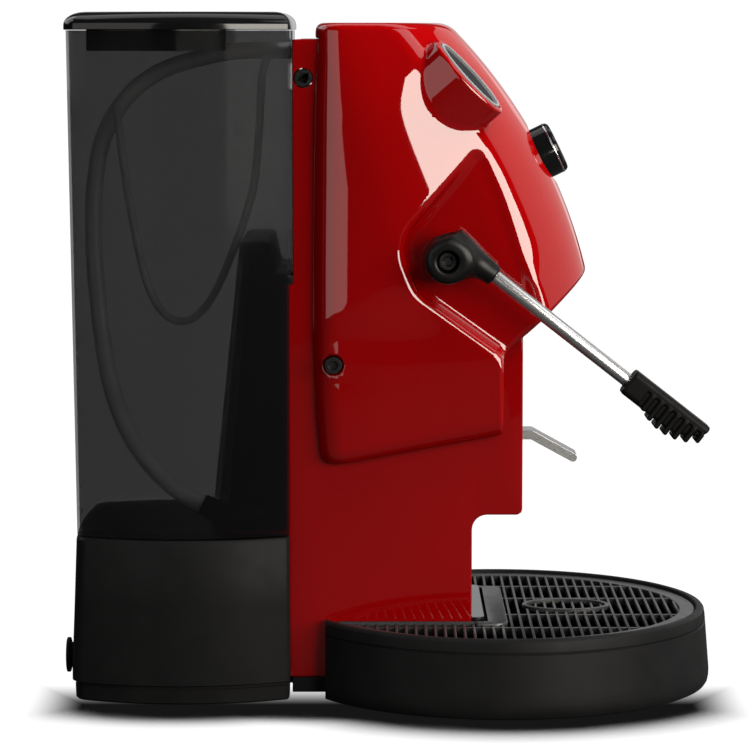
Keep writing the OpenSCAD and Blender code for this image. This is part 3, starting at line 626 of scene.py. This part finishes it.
HOSE_ROUTE = [
    (-46.6, 0, 302), (-54, 0, 302), (-64, 0, 302), (-76, -1, 301.3), (-88, -3, 299), (-101, -6, 295.5),
    (-113, -9, 290), (-123, -12, 282), (-131, -15, 271), (-136.5, -17, 258), (-139, -19, 243),
    (-140, -22, 226), (-139.5, -25, 208), (-138, -28, 190), (-136, -31, 172), (-133, -35, 154),
    (-128.5, -39, 138), (-122, -44, 124), (-113.5, -48.5, 112), (-104, -52, 102.5), (-95, -53.6, 96.5),
    (-88, -54, 93),
]
THIN_ROUTE = [
    (-46.6, -16, 303), (-50, -16, 303), (-53.5, -16, 303), (-57.5, -16.2, 300), (-60, -16.6, 294),
    (-61.2, -17, 284), (-62, -18, 270), (-63, -19, 254), (-65, -20, 238), (-69.5, -21, 222),
    (-75.5, -22, 206), (-81.5, -23, 192), (-88.5, -24, 181), (-97, -25, 175.5), (-105.5, -26, 178),
    (-112, -26.5, 187), (-117, -27, 202), (-121, -27, 222), (-124.5, -27, 244), (-127, -26, 262),
    (-128.5, -26, 276),
]


def catmull_rom(route, steps):
    """A smooth line through given points, with that many steps between each pair."""
    p = [np.array(q, float) for q in route]
    line = []
    for i in range(len(p) - 1):
        a, b, c, d = p[max(i - 1, 0)], p[i], p[i + 1], p[min(i + 2, len(p) - 1)]
        for k in range(steps):
            t = k / steps
            line.append(0.5 * (2 * b + (c - a) * t + (2 * a - 5 * b + 4 * c - d) * t**2
                               + (3 * b - a - 3 * c + d) * t**3))
    return line + [p[-1]]


def make_hose(node, route, diameter):
    line = catmull_rom(route, 5)
    curve = bpy.data.curves.new(node + "_line", "CURVE")
    curve.dimensions = "3D"
    curve.bevel_depth = diameter / 2 * MM
    curve.bevel_resolution = 5
    curve.use_fill_caps = True
    spline = curve.splines.new("POLY")
    spline.points.add(len(line) - 1)
    for point, place in zip(spline.points, line):
        point.co = (*(place * MM), 1)
    spline.use_smooth = True
    hose = bpy.data.objects.new(node + "_look", curve)
    COLLECTION.objects.link(hose)
    curve.materials.append(MATERIALS["clear_hose"])
    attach(hose, "tank")
    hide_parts(node)
    length = sum(np.linalg.norm(b - a) for a, b in zip(line, line[1:]))
    return hose, length * MM


# ---------------------------------------------------------------- carried-over parts

record = frame["record"]
NODE_SLOT = {s["node"]: s["material_slot"] for s in record["subparts"]}
NODE_BODY = {n: b for b, nodes in record["behaviour"]["bodies"].items() for n in nodes}


def dress(node, width):
    """A copy of a CAD part with its hard edges rounded, in place of the part."""
    mesh = tidied(frame["nodes"][node].data.copy())
    mesh = bevelled(mesh, width, 2)
    return finish_object(node + "_look", mesh, NODE_SLOT[node], NODE_BODY[node], [node])


# ---------------------------------------------------------------- hood

HOOD_HALF = 58.0
HOOD_TOP = 315.0
WALL = 2.6
FACE_CENTRE = (-145.5, 140.6)  # X and Z of the face's arc
FACE_R = 245.0
FACE_BOW = 0.0111  # in plan the face falls back by this times Y squared
PIVOT = (25.4, 206.8)
POCKET = rounded([
    (41, 258, 4), (50.5, 236, 60), (59, 208, 60), (72, 182, 0), (60, 150, 0), (49, 164.5, 0),
    (12, 191, 16), (3, 214, 18)], 6)
POCKET_FLOOR = 48.0
EYE = Matrix.Translation((36.2, -44.5, 291)) @ Matrix.Rotation(math.radians(47.6), 4, "Y") @ Matrix.Rotation(
    math.radians(14), 4, "X")
BUTTON = Matrix.Translation((71.6, 0, 253.5)) @ Matrix.Rotation(math.radians(64), 4, "Y")
HOOD_SCREW = (-27.1, 157.7)
HOOD_REAR = -37.4
REAR_WAIST = 175  # height at which the rear edge stands furthest back
BROW = 270  # height from which the sides lean in towards the crown
CHEEK_FALL = 0.25  # how fast the cheek narrows towards the face
FOLD = (14.5, 234)  # X and Z of the knee in the line where the side turns into the cheek
EYE_BOSS = (22.5, 13.5)
EYE_SEAT = (19.7, 10.2)
HEM = (-27, 109.6)  # X and Z of a point on the lower edge
HEM_RISE = 14.5 / 76.8
TAIL_X = 51.7  # front end of the part below the chin
CHIN = (90, 195.3)  # X and Z of a point on the slanted underside of the chin
CHIN_RISE = 0.88
COLUMN_CLEAR = 45.3
HUB_HOLE_R = 9.3
SCREW_HOLE_R = 4.4
BUTTON_HOLE_R = 13.1


def step_up(v, low, high):
    """Rises smoothly from 0 at low to 1 at high."""
    t = np.clip((v - low) / (high - low), 0, 1)
    return t * t * (3 - 2 * t)


def local(matrix, x, y, z):
    """The coordinates in a placed piece's own frame."""
    m = matrix.inverted()
    return [m[i][0] * x + m[i][1] * y + m[i][2] * z + m[i][3] for i in range(3)]


def ellipse_distance(u, v, a, b):
    """Nearly the signed distance to an ellipse with half axes a and b, negative inside."""
    k = np.sqrt((u / a) ** 2 + (v / b) ** 2)
    return (k - 1) * k / np.maximum(np.sqrt((u / a**2) ** 2 + (v / b**2) ** 2), 1e-6)


def hood_skin(x, ay, z):
    """The hood's outside before its lower edges are cut."""
    reach = np.sqrt((x + FACE_BOW * ay**2 - FACE_CENTRE[0]) ** 2 + (z - FACE_CENTRE[1]) ** 2)
    slope = 2 * FACE_BOW * ay * (x + FACE_BOW * ay**2 - FACE_CENTRE[0]) / reach
    face = (reach - FACE_R) / np.sqrt(1 + slope**2)
    # The side is crowned: it falls away towards its back, its lower edge and, most, towards the crown.
    rear_line = 2.4 - 0.12 * np.maximum(z - 240, 0) - 0.25 * np.maximum(150 - z, 0)
    behind = np.maximum(rear_line - x, 0)
    below = np.maximum(160 + 0.1 * np.clip(x, 0, 50) - z, 0)
    forward = 0.5 * (x - 1.8 + np.sqrt((x - 1.8) ** 2 + 64))
    above = z - BROW - 2.6 * forward
    crown_up = 0.03 * (above + np.sqrt(above**2 + 80)) + 0.0012 * np.maximum(z - BROW, 0) ** 2
    side = ay - HOOD_HALF + 0.0034 * behind**2 + 0.0012 * below**2 + crown_up
    fall = CHEEK_FALL * step_up(z, 168, 215)
    fold = FOLD[0] - np.where(z > FOLD[1], 0.45, 0.28) * (z - FOLD[1])
    cheek = (ay - HOOD_HALF + crown_up + fall * (x - fold)) / np.sqrt(1 + fall**2)
    side = smax(side, cheek, 6)
    body = smax(face, side, 3.5)
    rear = HOOD_REAR + np.where(z > REAR_WAIST, 1.14e-4, 8e-4) * (z - REAR_WAIST) ** 2 - x
    body = smax(body, rear, 13)
    body = smax(body, z - HOOD_TOP, 4)
    u, v, w = local(EYE, x, -ay, z)
    boss = smax(ellipse_distance(u, v, *EYE_BOSS), w, 2)
    body = smin(body, np.maximum(boss, -22 - w), 1.2)
    cavity = smax(outline_distance(x, z, POCKET), POCKET_FLOOR - ay, 5)
    return smax(body, -cavity, 4)


def hood_field(x, y, z):
    """The whole hood: its hollow, the column's room and the holes for hub, screws, eyes and button."""
    ay = np.abs(y)
    skin = hood_skin(x, ay, z)
    bottom = (HEM[1] + HEM_RISE * (x - HEM[0]) - z) / math.hypot(1, HEM_RISE)
    under = (CHIN[1] + CHIN_RISE * (x - CHIN[0]) - z) / math.hypot(1, CHIN_RISE)
    tail = smin(x - TAIL_X, under, 4)
    outside = smax(smax(skin, bottom, 8), tail, 2.2)
    rim = 3.4 * step_up(bottom, -9, -1)
    hollow = smax(skin + WALL + rim, tail + WALL, 1.5)
    column = np.maximum(np.maximum(ay - COLUMN_CLEAR, z - 307.8), x - 5)
    chin = np.maximum(np.maximum(ay - COLUMN_CLEAR, x - 61.4), z - 172.6)
    solid = smax(outside, -np.minimum(hollow, np.minimum(column, chin)), 0.6)
    hub_hole = np.sqrt((x - PIVOT[0]) ** 2 + (z - PIVOT[1]) ** 2) - HUB_HOLE_R
    solid = smax(solid, -np.where(ay > 40, hub_hole, 20), 1)
    screw_at = np.sqrt((x - HOOD_SCREW[0]) ** 2 + (z - HOOD_SCREW[1]) ** 2)
    solid = smax(solid, SCREW_HOLE_R - screw_at, 1)
    u, v, w = local(EYE, x, -ay, z)
    eye_seat = np.maximum(ellipse_distance(u, v, *EYE_SEAT), -3.2 - w)
    solid = smax(solid, -eye_seat, 1)
    u, v, w = local(BUTTON, x, y, z)
    button_hole = np.maximum(np.sqrt(u * u + v * v) - BUTTON_HOLE_R, -25 - w)
    return smax(solid, -button_hole, 3)


def make_hood():
    mesh = skin_of("hood", hood_field, (-41, -60.5, 104), (98, 60.5, 318), 1.3)
    finish_object("hood_look", mesh, "red_gloss", "chassis", ["hood"])


# ---------------------------------------------------------------- column

COLUMN = rounded([
    (-79, 60, 0), (-65.5, 208.5, 2), (-60.5, 208.5, 2), (-56, 194, 2), (-46, 194, 1.5), (-46, 307.5, 3),
    (3, 307.5, 6), (22, 284, 10), (45, 243, 6), (46, 188, 4), (52.2, 182, 2), (52.2, 164.9, 0),
    (61, 171.6, 0.8), (61, 86.4, 3), (37.5, 86.4, 7), (37.5, 9.6, 0), (-83.5, 9.6, 0)], 6)
COLUMN_HALF = 45.0
SCREWS = [(-40.9, 289.6), (-58.8, 184.3)]


def bar_y(x, z, r, y0, y1, sides=48):
    """A round bar along Y."""
    angles = np.linspace(0, 2 * math.pi, sides, endpoint=False)
    circle = [(x + r * math.cos(a), z + r * math.sin(a)) for a in angles]
    return prism_y("bar", circle, y0, y1)


def round_outer_edges(mesh, picks, width, segments):
    """Rounds the edges whose two ends both pass a test on their place in millimetres."""
    bm = bmesh.new()
    bm.from_mesh(mesh)
    edges = [
        e for e in bm.edges
        if e.calc_face_angle(0) > math.radians(30) and all(picks(*(v.co / MM)) for v in e.verts)
    ]
    bmesh.ops.bevel(
        bm, geom=edges, offset=width * MM, segments=segments, profile=0.5, affect="EDGES", clamp_overlap=True)
    bm.to_mesh(mesh)
    bm.free()
    smooth_by_angle(mesh, 24)
    return mesh


def make_panels():
    panel = prism_y("panel", COLUMN, -COLUMN_HALF, -42)
    panel = round_outer_edges(panel, lambda x, y, z: y < -44.9, 2.2, 5)
    panel = cut(panel, bar_y(*PIVOT, 9.05, -50, -40))
    for place in SCREWS:
        panel = cut(panel, bar_y(*place, 4.6, -50, -40, 32))
    smooth_by_angle(panel, 24)
    finish_object("side_panel_right_look", panel, "red_paint", "chassis", ["side_panel_right"])
    finish_object("side_panel_left_look", mirrored(panel), "red_paint", "chassis", ["side_panel_left"])


# ---------------------------------------------------------------- tank, lid and rear housing

NOTCH_HALF = 45.6
TANK_FLOOR = 78.5
TANK_RIM = 311.5
DECK = 77.5  # top of the rear housing
CHEEK_BOW = 12.0
BACK_BOW = 2.2
FRONT_R = 3.0


def barrel(x0, x1, half, r):
    """Plan of the tank and its housing: bowed cheeks and a gently bowed back, whose corners have radius r."""
    n = 24
    middle, length = (x0 + x1) / 2, x1 - x0
    along = [-1, *np.linspace(-0.76, 0.76, n - 1), 1]
    cheek = [(middle + u * length / 2, half - CHEEK_BOW * u * u) for u in along]
    radius = {0: r, n: min(FRONT_R, r)}
    corners = [(x, -y, radius.get(i, 0)) for i, (x, y) in enumerate(cheek)]
    corners += [(x, y, radius.get(n - i, 0)) for i, (x, y) in enumerate(cheek[::-1])]
    back = np.linspace(0.7, -0.7, 7)
    corners += [(x0 - BACK_BOW * (1 - y * y), y * (half - CHEEK_BOW - r), 0) for y in back]
    return rounded(corners, 5)


def at_z(outline, z):
    return np.array([(x, y, z) for x, y in outline])


def barrel_body(name, levels):
    """A skin over barrel plans given as (x0, x1, half, corner radius, height)."""
    return tidy_normals(loft(name, [at_z(barrel(x0, x1, half, r), z) for x0, x1, half, r, z in levels]))


def tank_body(inset, z0, z1):
    return barrel_body("tank", [
        (-146.2 + inset, -47.6 - inset, 67.3 - inset, 9 - inset, z0),
        (-149.3 + inset, -47.0 - inset, 68.0 - inset, 9 - inset, z1)])


def make_tank():
    wall = 1.2
    pocket_in = rounded([(-83, 70, 0), (-68, 212, 2), (-58.6, 212, 2), (-54.8, 197.5, 2), (-40, 197.5, 0),
                         (-40, 70, 0)], 4)
    pocket_out = rounded([(-85.2, 70, 0), (-70.2, 214.5, 2), (-57, 214.5, 2), (-53.3, 199.7, 2),
                          (-40, 199.7, 0), (-40, 70, 0)], 4)
    tank = cut(tank_body(0, TANK_FLOOR, TANK_RIM), tank_body(wall, TANK_FLOOR + 2.5, TANK_RIM + 1))
    pocket = prism_y("pocket", pocket_out, -48.8, 48.8)
    pocket = cut(pocket, tank_body(0.4, TANK_FLOOR, TANK_RIM), "INTERSECT")
    tank = cut(tank, pocket, "UNION")
    tank = cut(tank, prism_y("notch", pocket_in, -46.6, 46.6))
    tank = cut(tank, box("hose_gap", (-52, -24, 296), (-44, 6, 316)))
    smooth_by_angle(tank, 24)
    finish_object("water_tank_look", tank, "smoke_tank", "tank", ["water_tank"])


def make_lid():
    back, front, half, r, brim = -150.3, -46.3, 68.9, 9, TANK_RIM + 2.4
    levels = [(-150.0, -46.6, 68.6, r, TANK_RIM + 0.2), (back, front, half, r, TANK_RIM + 0.6),
              (back, front, half, r, brim)]
    for t in np.linspace(0.12, 1, 8):
        a = t * math.pi / 2
        inset, rise = 9.5 * (1 - math.cos(a)), 6.1 * math.sin(a)
        levels.append((
            back + inset, front - inset * 0.8, half - inset, max(r - inset * 0.3, 5), brim + rise))
    lid = barrel_body("lid", levels)
    skirt = barrel_body("skirt", [(-140.5, -76, 59, 5, z) for z in (TANK_RIM - 9.4, TANK_RIM + 1)])
    inside = barrel_body("inside", [(-138.5, -78, 57, 4, z) for z in (TANK_RIM - 10, TANK_RIM + 4)])
    lid = cut(cut(lid, skirt, "UNION"), inside)
    lid = cut(lid, box("hose_gap", (-84, -24, 290), (-72, 6, TANK_RIM - 0.2)))
    smooth_by_angle(lid, 30)
    finish_object("tank_lid_look", lid, "gloss_black", "lid", ["tank_lid"])


def make_housing():
    levels = [
        (-146.6, -48.2, 68.0, 9, 1.2), (-147.3, -47.7, 68.8, 9, 2.0), (-147.5, -47.5, 69.0, 9, 8.2),
        (-146.9, -48.0, 68.4, 9, 8.7), (-146.9, -48.0, 68.4, 9, 9.5), (-148.8, -47.3, 70.0, 9, 10.2),
        (-148.8, -47.3, 70.0, 9, 16), (-147.6, -47.5, 69.0, 9, 46),
        (-146.5, -47.6, 68.1, 9, DECK - 1.2), (-145.9, -47.9, 67.5, 9, DECK)]
    housing = barrel_body("housing", levels)
    inside = barrel_body("inside", [(-146, -50, 66.5, 7, 0), (-143.8, -50, 65.5, 7, DECK - 2.5)])
    housing = cut(housing, inside)
    housing = cut(housing, box("notch", (-85.5, -NOTCH_HALF, 0), (-25.5, NOTCH_HALF, 100)))
    housing = cut(housing, box("switch", (-156, 20, 25), (-142, 41.4, 40.4)))
    gland = turned("gland", [(6.2, 0), (6.2, 20)], 48)
    gland.transform(Matrix.Translation(Vector((-160, -38, 19)) * MM) @ Matrix.Rotation(math.pi / 2, 4, "Y"))
    housing = cut(housing, gland)
    smooth_by_angle(housing, 30)
    finish_object("rear_housing_look", housing, "black_plastic", "chassis", ["rear_housing"])


# ---------------------------------------------------------------- drip tray

TRAY_X = 52.3
TRAY_R = 98.0
TRAY_RIM = 37.2
SLOT_HALF = 46.2
SLOT_X = 44.9
TRAY_BACK = -31.0


def make_tray():
    wall, ledge = 2.6, TRAY_RIM - 6
    at_tray = Matrix.Translation((TRAY_X * MM, 0, 0))
    outside = turned("tray", [
        (0.5, 0.4), (TRAY_R - 0.2, 0.4), (TRAY_R + 1.2, 1.0), (TRAY_R + 2.1, 2.4), (TRAY_R + 2.5, 4.6),
        (TRAY_R + 2.6, 7.2), (TRAY_R + 2.2, 12),
        (TRAY_R + 0.75, TRAY_RIM - 7.3), (TRAY_R + 0.2, TRAY_RIM - 7.0), (TRAY_R + 0.2, TRAY_RIM - 6.3),
        (TRAY_R + 0.65, TRAY_RIM - 6.0), (TRAY_R + 0.4, TRAY_RIM - 3.4), (TRAY_R, TRAY_RIM - 1.3),
        (TRAY_R - 0.8, TRAY_RIM - 0.3), (TRAY_R - 1.7, TRAY_RIM), (TRAY_R - 3.1, TRAY_RIM),
        (TRAY_R - 3.6, TRAY_RIM - 0.3), (TRAY_R - 3.9, TRAY_RIM - 1), (0.5, TRAY_RIM - 1)], 240)
    outside.transform(at_tray)
    inside = turned("basin", [
        (0.5, 3.2), (TRAY_R - 4, 3.2), (TRAY_R - 1.8, 6), (TRAY_R - 1.2, 9), (TRAY_R - 3.4, ledge - 2),
        (TRAY_R - 9, ledge), (TRAY_R - 9, ledge + 0.3), (TRAY_R - 3.9, ledge + 0.3), (TRAY_R - 3.9, 60),
        (0.5, 60)], 240)
    inside.transform(at_tray)
    slot_wall = box(
        "slot_wall", (-60, -SLOT_HALF - wall, -5), (SLOT_X + wall, SLOT_HALF + wall, ledge))
    inside = cut(inside, slot_wall)
    inside = cut(inside, box("back_wall", (-60, -120, -5), (TRAY_BACK + wall, 120, 95)))
    tray = cut(outside, inside)
    tray = cut(tray, box("slot", (-60, -SLOT_HALF, -5), (SLOT_X, SLOT_HALF, 80)))
    tray = cut(tray, box("back", (-90, -120, -5), (TRAY_BACK, 120, 95)))
    smooth_by_angle(tray, 26)
    finish_object("drip_tray_look", tray, "tray_black", "tray", ["drip_tray"])


GRID_R = TRAY_R - 4.2
GRID_Z = TRAY_RIM - 5.6
RIBS = (-56, -22, 22, 56)


def make_grid():
    """The slatted grid: a rim, a flange around the column's foot, bars along Y and ribs along X."""
    top, slots_r, pitch = GRID_Z + 4, GRID_R - 7.5, 4.5
    slot = box("slot", (-70, -SLOT_HALF - 0.3, 0), (SLOT_X + 0.3, SLOT_HALF + 0.3, 80))
    rim = turned("rim", [
        (slots_r, GRID_Z), (GRID_R, GRID_Z), (GRID_R, top - 0.6), (GRID_R - 0.6, top), (slots_r + 0.3, top),
        (slots_r, top - 0.3), (slots_r, GRID_Z)], 192)
    rim.transform(Matrix.Translation((TRAY_X * MM, 0, 0)))
    rim = cut(rim, box("back", (-90, -120, 0), (TRAY_BACK + 3.2, 120, 80)))
    near_side = [
        (TRAY_BACK + 6, -SLOT_HALF - 2.4, 0), (SLOT_X - 6, -SLOT_HALF - 2.4, 1),
        (SLOT_X - 5, -SLOT_HALF - 5.4, 1), (SLOT_X + 9.5, -SLOT_HALF - 4.5, 6)]
    far_side = [(x, -y, r) for x, y, r in near_side[::-1]]
    flange = prism_z("flange", rounded(near_side + far_side), GRID_Z + 0.5, top + 0.8)
    parts = [rim, cut(bevelled(flange, 0.5, 3), slot)]
    count = int(slots_r / pitch)
    for k in range(-count, count + 1):
        x = TRAY_X + k * pitch
        reach = math.sqrt(slots_r**2 - (k * pitch) ** 2) + 1.5
        spans = [(-reach, reach)]
        if x < SLOT_X + 8:
            spans = [(-reach, -SLOT_HALF - 1.6), (SLOT_HALF + 1.6, reach)]
        for y0, y1 in spans:
            if x - 1.2 > TRAY_BACK + 3.2 and y1 - y0 > 3:
                bar = box("bar", (x - 1.2, y0, GRID_Z + 0.2), (x, y1, top - 0.1))
                parts.append(bevelled(bar, 0.25, 2))
    for y in RIBS:
        reach = math.sqrt(slots_r**2 - y * y) + 1.5
        start = max(TRAY_X - reach, TRAY_BACK + 3.2) if abs(y) > SLOT_HALF else SLOT_X + 8
        parts.append(box("rib", (start, y - 0.8, GRID_Z + 0.3), (TRAY_X + reach, y + 0.8, top - 0.4)))
    grid = joined("grid", parts)
    smooth_by_angle(grid, 30)
    finish_object("drip_grid_look", grid, "tray_black", "grid", ["drip_grid"], "grid_black_painted_light")


def make_cup_ring():
    """A plain raised oval in the middle of the grid, where the cup stands."""
    a, b, n = 21.0, 15.0, 96
    angles = np.linspace(0, 2 * math.pi, n, endpoint=False)
    top = TRAY_RIM - 1.6
    section = [(0, -1.2), (0, 0.5), (0.35, 0.9), (1.5, 0.9), (1.85, 0.5), (1.85, -1.2)]
    rings = [
        np.column_stack([84 + (a - d) * np.cos(angles), (b - d) * np.sin(angles), np.full(n, top + h)])
        for d, h in section
    ]
    mesh = loft("cup_ring", rings + [rings[0]], close=False)
    mesh = tidied(mesh)
    smooth_by_angle(mesh, 40)
    finish_object("cup_ring", mesh, "tray_black", "grid", look="grid_black_painted_light")


# ---------------------------------------------------------------- lever

LEVER = Matrix.Translation((PIVOT[0], -65, PIVOT[1])) @ Matrix.Rotation(math.radians(38), 4, "Y")
ROD_RISE = 7.6
ROD_R = 3.3
LEVER_REACH = 142.2
GRIP_L = 43.0
GRIP_RIBS = 7


def hub_field(x, y, z):
    from_pivot = np.sqrt((x - PIVOT[0]) ** 2 + (z - PIVOT[1]) ** 2)
    boss = smax(from_pivot - 11.2 + (-48.8 - y) * 0.03, np.maximum(-75 - y, y + 48.8), 4)
    u, v, w = local(LEVER, x, y, z)
    from_rod = np.sqrt(v * v + (w - ROD_RISE) ** 2)
    neck = smax(from_rod - (6.6 - 0.075 * u), np.abs(u - 9) - 12.6, 1.6)
    solid = smin(boss, neck, 9)
    solid = smax(solid, -np.maximum(from_pivot - 5, y + 67), 1.2)
    end_cut = smax(from_rod - 4.6, u + 2.6, 0.8)
    solid = smax(solid, -end_cut, 0.8)
    solid = np.maximum(solid, -np.maximum(from_pivot - 6.05, -62 - y))
    return np.maximum(solid, ROD_R + 0.02 - from_rod)


def rib_distance(u, v, w, low, high, r):
    """A box with rounded edges in the lever's own frame."""
    middle = (np.array(low) + high) / 2
    half = (np.array(high) - low) / 2 - r
    q = [np.abs(c - m) - h for c, m, h in zip((u, v, w), middle, half)]
    outside = np.sqrt(sum(np.maximum(a, 0) ** 2 for a in q))
    return outside + np.minimum(np.maximum(np.maximum(q[0], q[1]), q[2]), 0) - r


def grip_field(u, v, w):
    """The grip in the lever's own frame, measured from the end where the rod enters."""
    keel = np.where(u < 26, -6.3, -6.3 + 0.03 * np.maximum(u - 26, 0) ** 2)
    core = smax(w - 6.4, keel - w, 1.2)
    core = smax(core, np.abs(v) - 7.4, 3)
    core = smax(core, np.maximum(-u, u - GRIP_L + 0.25 * np.maximum(3.5 - w, 0)), 1.4)
    solid = core
    for k in range(GRIP_RIBS):
        start = 11.6 + 4.8 * k
        depth = 9.3 - 0.021 * (start - 23) ** 2
        rib = rib_distance(u, v, w, (start, -8.6, -depth), (min(start + 2.4, GRIP_L - 0.6), 8.6, 2.4), 1.0)
        near_groove = rib_distance(u, v, w, (start - 2.1, -12, -12), (start - 0.1, -6.6, 2.0), 0.4)
        far_groove = rib_distance(u, v, w, (start - 2.1, 6.6, -12), (start - 0.1, 12, 2.0), 0.4)
        solid = smin(smax(solid, -np.minimum(near_groove, far_groove), 0.5), rib, 0.5)
    bore = np.maximum(np.sqrt(v * v + w * w) - ROD_R - 0.02, u - GRIP_L + 7)
    return np.maximum(solid, -bore)


def make_lever():
    hub = skin_of("hub", hub_field, (9, -77, 186), (56, -47, 226), 0.6)
    finish_object("lever_hub_look", hub, "matte_black", "lever", ["lever_hub"])
    grip = skin_of("grip", grip_field, (-1.5, -10.5, -12), (45.5, 10.5, 8), 0.45)
    place = LEVER @ Matrix.Translation((LEVER_REACH - GRIP_L, 0, ROD_RISE))
    place.translation *= MM
    grip.transform(place)
    finish_object("lever_grip_look", grip, "grip_black", "lever", ["lever_grip"])


# ---------------------------------------------------------------- button and eyes

EYE_A = 19.5  # half length and half width of an eye's bezel
EYE_B = 10.0


def placed(matrix):
    """A placement written in millimetres, for meshes in metres."""
    m = matrix.copy()
    m.translation *= MM
    return m


def make_button():
    face = turned("button", [
        (3, -15), (3, -12), (12.5, -12), (12.5, 5.6), (12.15, 7.2), (11.3, 8.1), (10.2, 8.35), (9.4, 8.1),
        (8.6, 7.6), (0.5, 7.2)], 96, 24)
    face.transform(placed(BUTTON))
    finish_object("brew_button_look", face, "gloss_black", "button", ["brew_button"])
    trim = turned("trim", [
        (12.3, 5.35), (12.6, 5.4), (12.66, 5.55), (12.66, 5.85), (12.55, 6.0), (12.2, 6.05)], 96, 50)
    trim.transform(placed(BUTTON))
    finish_object("button_ring", trim, "chrome_trim", "button")


def eye_outline(a, b):
    return [(a * math.cos(t), b * math.sin(t)) for t in np.linspace(0, 2 * math.pi, 64, endpoint=False)]


def make_eyes():
    section = [(0, -3.1), (0, 0.0), (0.3, 0.35), (0.8, 0.45), (1.3, 0.35), (1.6, -0.1), (1.6, -3.1)]
    ring = [at_z(eye_outline(EYE_A - inset, EYE_B - inset), height) for inset, height in section]
    bezel = tidied(loft("bezel", ring + [ring[0]], close=False))
    smooth_by_angle(bezel, 40)
    bezel.transform(placed(EYE))
    a, b = EYE_A - 1.75, EYE_B - 1.75
    lens_rings = [at_z(eye_outline(a, b), -3.1)]
    for t in np.linspace(0, 0.97, 8):
        narrowing = math.sqrt(1 - t * t)
        lens_rings.append(at_z(eye_outline(a * narrowing, b * narrowing), -1.2 + 1.1 * t))
    lens = tidy_normals(loft("lens", lens_rings))
    smooth_by_angle(lens, 40)
    lens.transform(placed(EYE))
    finish_object("eye_bezels_look", joined("eye_bezels", [bezel, mirrored(bezel)]), "chrome_trim", "chassis",
                  ["eye_bezels"], "eye_ring")
    finish_object("eye_lenses_look", joined("eye_lenses", [lens, mirrored(lens)]), "eye_lens", "chassis",
                  ["eye_lenses"])


# ---------------------------------------------------------------- the machine

SHARP = {  # edge rounding in millimetres of the carried-over parts
    "base_plate": 0.5, "rubber_feet": 0.8, "rear_cover": 0.3, "front_cover": 0.8, "spacer_bars": 0.2,
    "panel_screws": 0.45, "hood_screws": 0.45, "button_guide": 0.4, "brew_switch": 0.4, "group_frame": 0.6,
    "shaft_bushes": 0.3, "shaft_cap": 1.2, "pod_holder": 0.6, "coffee_spout": 0.6, "holder_bracket": 0.3,
    "group_cover": 0.3, "spout_cover": 0.3, "tongue_pin": 0.3, "pod_tongue": 0.35, "boiler": 0.8,
    "boiler_thermostats": 0.5, "pump": 0.8, "pump_cradle": 0.6, "control_board": 0.3, "switch_frame": 0.4,
    "power_rocker": 0.4, "cable_gland": 0.5, "hose_fitting": 0.6, "lever_rod": 0.4, "lever_shaft": 0.4,
    "lever_cam": 0.5, "hub_screw": 0.4, "piston": 0.5, "shower_screen": 0.15, "piston_gasket": 0.3,
    "return_spring": 0.05, "hose_elbow": 0.5, "intake_filter": 0.6, "pod_ring": 0.5,
}

carried = {node: dress(node, width) for node, width in SHARP.items()}

intake, intake_length = make_hose("intake_hose", HOSE_ROUTE, 8)
drip_hose, drip_length = make_hose("return_hose", THIN_ROUTE, 3.8)

make_hood()
make_panels()
make_tank()
make_lid()
make_housing()
make_tray()
make_grid()
make_cup_ring()
make_lever()
make_button()
make_eyes()
